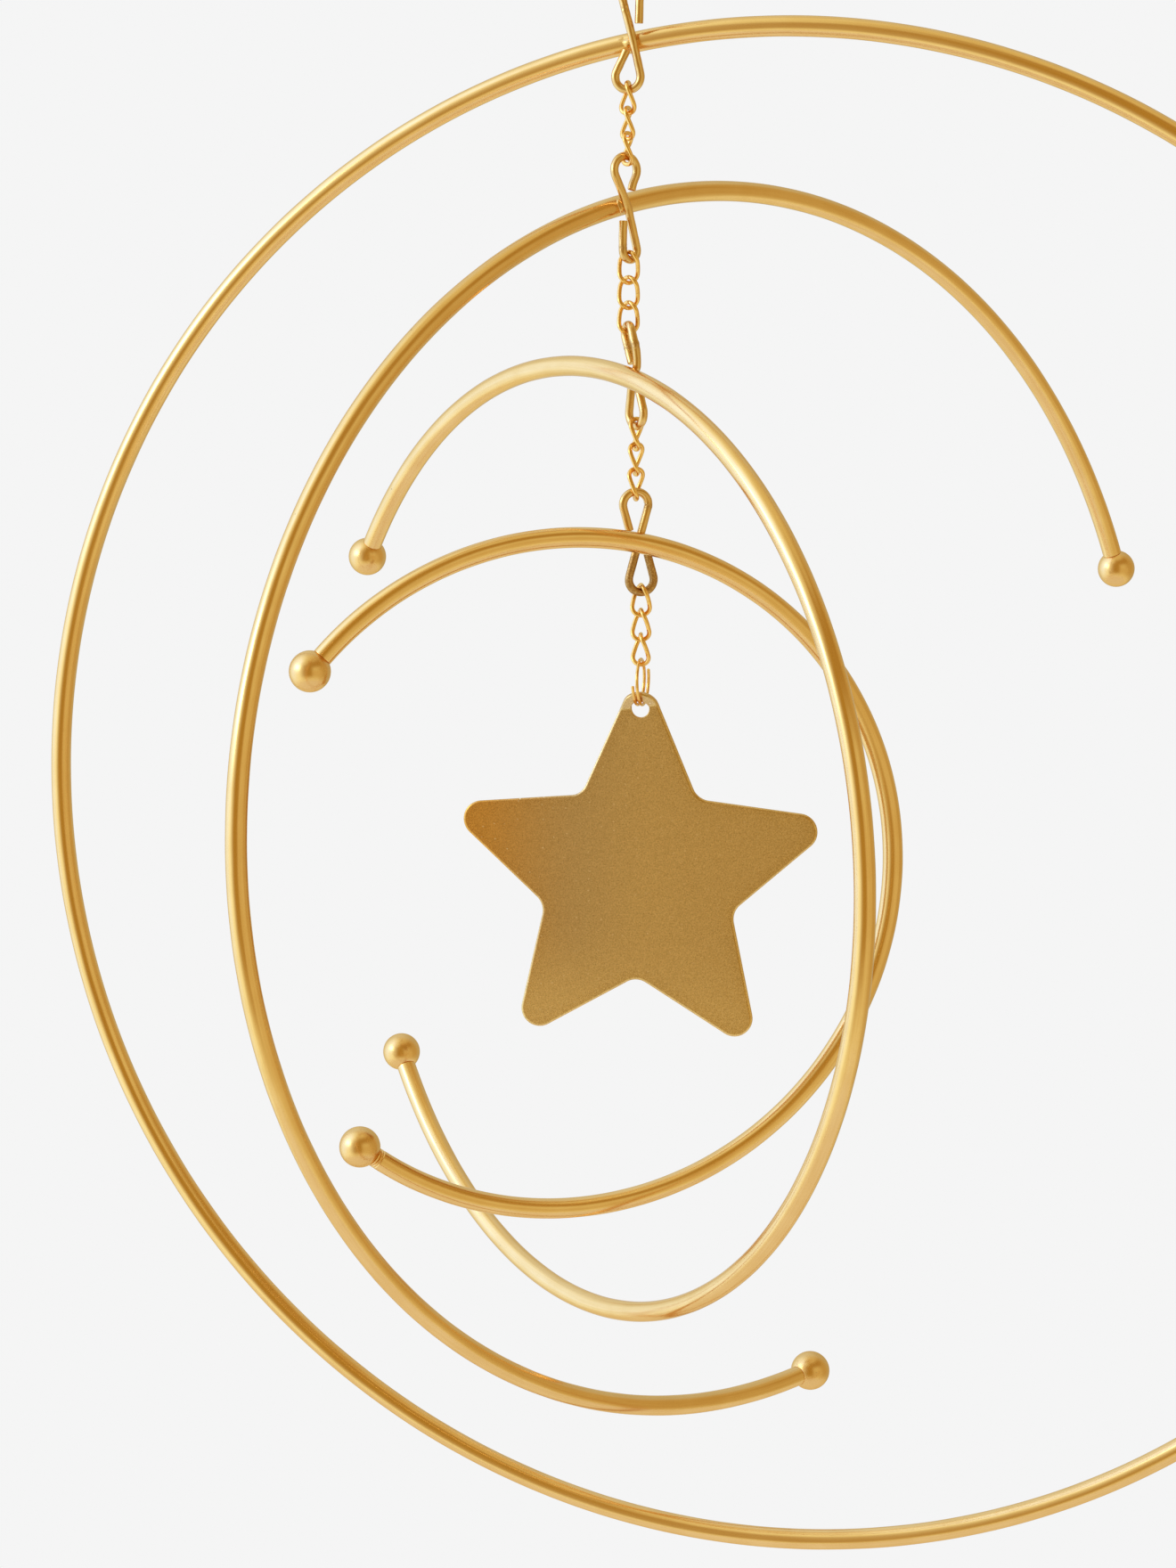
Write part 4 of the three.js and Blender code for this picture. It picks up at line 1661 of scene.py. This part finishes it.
@dataclass
class Studio:
    """A pale backdrop and floor, pale walls that darken behind the viewer, and a soft lamp at the left."""

    backdrop: Colour = (0.913, 0.913, 0.913, 1.0)
    walls: tuple[float, float, float] = (0.8, 0.76, 0.471)
    panels: tuple[Panel, ...] = (
        Panel((-84.0, 41.0), (-58.0, 66.0), 63.0, (0.83, 1.01, 1.314)),
        Panel((6.0, 75.0), (-46.0, 58.0), 59.0, (0.63, 0.66, 0.629)),
        Panel((-190.0, 190.0), (-120.0, -36.0), 26.0, (0.96, 1.02, 0.829)),
        Panel((-190.0, 190.0), (86.0, 120.0), 12.0, (0.79, 0.83, 0.664)),
        Panel((58.0, 120.0), (-29.0, 60.0), 38.0, (0.61, 0.49, 0.229)),
        Panel((91.0, 195.0), (28.0, 59.0), 19.0, (0.48, 0.32, 0.086)),
        Panel((105.0, 189.0), (-21.0, 7.0), 10.0, (0.73, 0.64, 0.357)),
        Panel((164.0, 236.0), (-24.0, 39.0), 19.0, (0.48, 0.32, 0.071)),
        Panel((-139.0, -55.0), (-45.0, 74.0), 49.0, (1.14, 1.36, 1.329)),
        Panel((-97.0, -60.0), (-25.0, 51.0), 63.0, (1.09, 1.56, 2.929)),
        Panel((-121.0, -84.0), (2.0, 54.0), 27.0, (1.26, 1.72, 3.0)),
    )
    wall_radius: float = 3.2
    wall_pole: float = 89.0
    wall_grid: tuple[int, int] = (120, 240)
    lamp_azimuth: float = -106.0
    lamp_elevation: float = 19.0
    lamp_distance: float = 1.5
    lamp_size: tuple[float, float] = (0.8, 0.5)
    lamp_power: float = 4.5
    lamp_colour: tuple[float, float, float] = (0.72, 0.84, 0.715)
    aim: tuple[float, float, float] = (0.0, 0.0, -0.18)
    floor_height: float = -0.72
    floor_radius: float = 0.8
    floor_inner: float = 0.02
    floor_fade: tuple[float, float] = (0.5, 0.97)
    floor_tones: tuple[Colour, Colour] = ((0.41, 0.39, 0.35, 1.0), (0.43, 0.41, 0.378, 1.0))
    floor_glow: Colour = (0.515, 0.54, 0.575, 1.0)
    floor_cloud_scale: float = 9.0
    floor_grid: tuple[int, int] = (24, 96)

    def build(self) -> None:
        """Makes the backdrop, the walls, the lamp and the floor."""
        self.hang_backdrop()
        self.raise_walls()
        self.hang_lamp()
        self.lay_floor()

    def hang_backdrop(self) -> None:
        """Makes everything behind the scene one even pale colour."""
        world = bpy.data.worlds.new("studio_backdrop")
        world.use_nodes = True
        bpy.context.scene.world = world
        graph = Graph(world.node_tree)
        plain = graph.add("ShaderNodeBackground", {}, {"Color": self.backdrop, "Strength": 1.0})
        graph.add("ShaderNodeOutputWorld", {}, {"Surface": plain})

    def raise_walls(self) -> None:
        """Raises the walls, which the metal mirrors and the camera looks through.

        Point (i, j) is the aim plus the radius times the unit direction of latitude i and longitude j. Its
        colour starts as the walls' own, and each panel in turn blends it to the panel's colour by how much it
        covers.
        """
        lat = np.radians(np.linspace(-self.wall_pole, self.wall_pole, self.wall_grid[0]))[:, None]
        lon = full_turn(self.wall_grid[1])
        ways = directions(lat, lon)
        poles = np.array([[0.0, 0.0, -1.0], [0.0, 0.0, 1.0]])
        skin = skin_of(ways, ways, poles)
        azimuth = np.degrees(np.arctan2(skin.points[:, 0], skin.points[:, 1]))
        elevation = np.degrees(np.arcsin(np.clip(skin.points[:, 2], -1.0, 1.0)))
        tone = np.tile(np.array(self.walls), (len(skin.points), 1))
        for panel in self.panels:
            share = panel.cover(azimuth, elevation)[:, None]
            tone = tone + share * (np.array(panel.colour) - tone)
        skin.points = skin.points * self.wall_radius + np.array(self.aim)
        walls = skin.piece("studio_walls")
        glow = walls.data.attributes.new("glow", "FLOAT_VECTOR", "POINT")
        glow.data.foreach_set("vector", tone.astype(np.float32).ravel())
        material, graph = fresh_paint("studio_wall_paint")
        light = graph.add("ShaderNodeEmission", {}, {"Color": graph.attribute("glow"), "Strength": 1.0})
        graph.add("ShaderNodeOutputMaterial", {}, {"Surface": light})
        walls.data.materials.append(material)
        walls.visible_camera = False

    def hang_lamp(self) -> None:
        """Hangs the soft lamp, which the camera doesn't see."""
        level = np.cos(np.radians(self.lamp_elevation))
        way = Vector(on_circle(1.0, self.lamp_azimuth)[[0, 2, 1]] * level)
        way.z = np.sin(np.radians(self.lamp_elevation))
        light = bpy.data.lights.new("left_softbox", "AREA")
        light.shape = "RECTANGLE"
        light.size, light.size_y = self.lamp_size
        light.energy = self.lamp_power
        light.color = self.lamp_colour
        lamp = bpy.data.objects.new("left_softbox", light)
        lamp.location = Vector(self.aim) + way * self.lamp_distance
        lamp.rotation_euler = way.to_track_quat("Z", "Y").to_euler()
        lamp.visible_camera = False
        bpy.context.scene.collection.objects.link(lamp)

    def lay_floor(self) -> None:
        """Lays a round floor that fades out towards its edge.

        It is a level line from the edge to near the middle, spun about the upright axis, and a middle point.
        """
        rings, around = self.floor_grid
        radius = np.linspace(self.floor_inner, 1.0, rings)[::-1] * self.floor_radius
        grid = spun(np.stack([radius, np.full(rings, self.floor_height)], -1), around)
        count = rings * around
        index = np.arange(count).reshape(rings, around)
        near, far = index[:-1], index[1:]
        quads = np.stack([near, np.roll(near, -1, 1), np.roll(far, -1, 1), far], -1).reshape(-1, 4)
        tris = np.stack([np.roll(index[-1], -1), np.full(around, count), index[-1]], -1)
        points = np.concatenate([grid.reshape(-1, 3), [[0.0, 0.0, self.floor_height]]])
        floor = Skin(points, quads, tris, points).piece("studio_floor")
        material, graph = fresh_paint("studio_floor_paint")
        spot = graph.add("ShaderNodeTexCoord", {}, {}, "Object")
        flat = graph.stretched(spot, (1.0, 1.0, 0.0))
        away = graph.add("ShaderNodeVectorMath", {"operation": "LENGTH"}, {0: flat}, "Value")
        fade = graph.step(away, *(share * self.floor_radius for share in self.floor_fade))
        colour = graph.blend(graph.noise(spot, self.floor_cloud_scale, detail=3.0), *self.floor_tones)
        paint = graph.add("ShaderNodeBsdfDiffuse", {}, {"Color": colour})
        sheen = graph.add("ShaderNodeEmission", {}, {"Color": self.floor_glow, "Strength": 1.0})
        lit = graph.add("ShaderNodeAddShader", {}, {0: paint, 1: sheen})
        clear = graph.add("ShaderNodeBsdfTransparent", {}, {})
        both = graph.add("ShaderNodeMixShader", {}, {0: fade, 1: lit, 2: clear})
        graph.add("ShaderNodeOutputMaterial", {}, {"Surface": both})
        floor.data.materials.append(material)


@dataclass
class Viewpoint:
    """The camera, from its place, its pitch, its heading and its roll."""

    spot: tuple[float, float, float] = (-7.84 * MM, -748.53 * MM, -90.93 * MM)
    pitch: float = -7.066
    heading: float = -0.017
    roll: float = 0.205
    lens: float = 88.474
    sensor: float = 36.0
    clip: tuple[float, float] = (0.05, 20.0)

    def build(self) -> None:
        """Makes the camera: it looks along +Y, then rolls, tips down and turns."""
        camera = bpy.data.cameras.new("viewpoint")
        camera.lens = self.lens
        camera.sensor_fit = "AUTO"
        camera.sensor_width = self.sensor
        camera.clip_start, camera.clip_end = self.clip
        seen = turned(Axis.Z, self.heading) @ turned(Axis.X, 90.0 + self.pitch) @ turned(Axis.Z, self.roll)
        viewpoint = bpy.data.objects.new("viewpoint", camera)
        viewpoint.matrix_world = Matrix.LocRotScale(Vector(self.spot), Matrix(seen.tolist()), None)
        bpy.context.scene.collection.objects.link(viewpoint)
        bpy.context.scene.camera = viewpoint


RINGS = (
    OpenRing(
        "outer",
        radius=148.0 * MM,
        yaw=-15.0,
        weld=-10.9,
        upper_ball=64.0,
        lower_ball=136.0,
        lean=0.2,
        hook_tilt=1.8,
        weld_rise=-0.6 * MM,
        seed=11,
        beads=(
            Bead(aside=-1.2 * MM, sunk=1.22 * MM, size=(2.6 * MM, 1.25 * MM, 1.25 * MM), lumps=0.055),
            Bead(aside=0.65 * MM, sunk=0.25 * MM, size=(0.7 * MM, 0.5 * MM, 1.0 * MM)),
        ),
        hook=Hook(
            upper=HookLoop(
                bow=1.8 * MM,
                end_reach=1.8 * MM,
                end_height=2.75 * MM,
                end_lean=0.0,
                end_straight=4.5 * MM,
            ),
            lower=HookLoop(end_reach=0.45 * MM, end_height=2.3 * MM, end_lean=24.0),
            waist=0.65 * MM,
            dents=((0.34, 0.5),),
        ),
    ),
    OpenRing(
        "second",
        radius=121.6 * MM,
        yaw=40.4,
        weld=-13.8,
        upper_ball=69.6,
        lower_ball=170.4,
        lean=1.4,
        hook_tilt=0.0,
        weld_rise=0.5 * MM,
        seed=12,
        beads=(Bead(aside=-0.5 * MM, sunk=0.75 * MM, size=(1.0 * MM, 1.1 * MM, 1.5 * MM), lumps=0.025),),
        hook=Hook(
            upper=HookLoop(
                bow=2.7 * MM,
                end_reach=0.9 * MM,
                end_height=3.5 * MM,
                end_lean=16.0,
                aside=-0.5 * MM,
            ),
            lower=HookLoop(
                bow=1.8 * MM,
                end_reach=1.25 * MM,
                end_height=2.4 * MM,
                end_lean=3.0,
                end_straight=3.0 * MM,
                aside=-0.35 * MM,
            ),
            dents=((0.87, 0.8),),
        ),
    ),
    OpenRing(
        "third",
        radius=93.9 * MM,
        yaw=123.1,
        weld=-9.8,
        upper_ball=56.2,
        lower_ball=126.2,
        lean=-0.4,
        hook_tilt=12.3,
        weld_rise=0.3 * MM,
        pitch=9.4 * MM,
        seed=13,
        hook=Hook(
            upper=HookLoop(
                bow=1.8 * MM,
                end_reach=-0.3 * MM,
                end_height=2.4 * MM,
                end_lean=14.0,
                end_straight=2.4 * MM,
                aside=-0.4 * MM,
                knees=((-3.0 * MM, 5.6 * MM), (-1.8 * MM, 1.2 * MM)),
            ),
            twist=-12.0,
            dents=((0.075, 0.8), (0.345, 0.9)),
        ),
    ),
    OpenRing(
        "inner",
        radius=66.3 * MM,
        yaw=195.4,
        weld=-11.7,
        upper_ball=51.3,
        lower_ball=141.0,
        lean=2.1,
        hook_tilt=5.3,
        weld_rise=0.0,
        seed=14,
        grooves=(0.3 * MM, 0.85 * MM),
        hook=Hook(worn=1.0, dents=((0.325, 0.9),)),
    ),
)


def main() -> None:
    """Builds the decoration from the top down, then the studio and the camera."""
    logging.basicConfig(level=logging.INFO, format="%(message)s")
    fitted = Fitted()
    hanger = HangingRing()
    hanger.build(fitted)
    hold, chain_name = hanger.hold(), "top"
    for ring in RINGS:
        top = Chain(chain_name, hold, ring.hook.wire, ring.yaw).build(fitted)
        hold, chain_name = ring.build(top, fitted), ring.name
    star_ring = StarRing()
    top = Chain(chain_name, hold, star_ring.wire, star_ring.yaw).build(fitted)
    star_ring.build(top, fitted)
    Star(star_ring).build(top, fitted)
    Studio().build()
    Viewpoint().build()
    bpy.context.scene.view_settings.view_transform = "Standard"
    LOG.info("%d pieces", len(fitted.names))


if __name__ == "__main__":
    main()
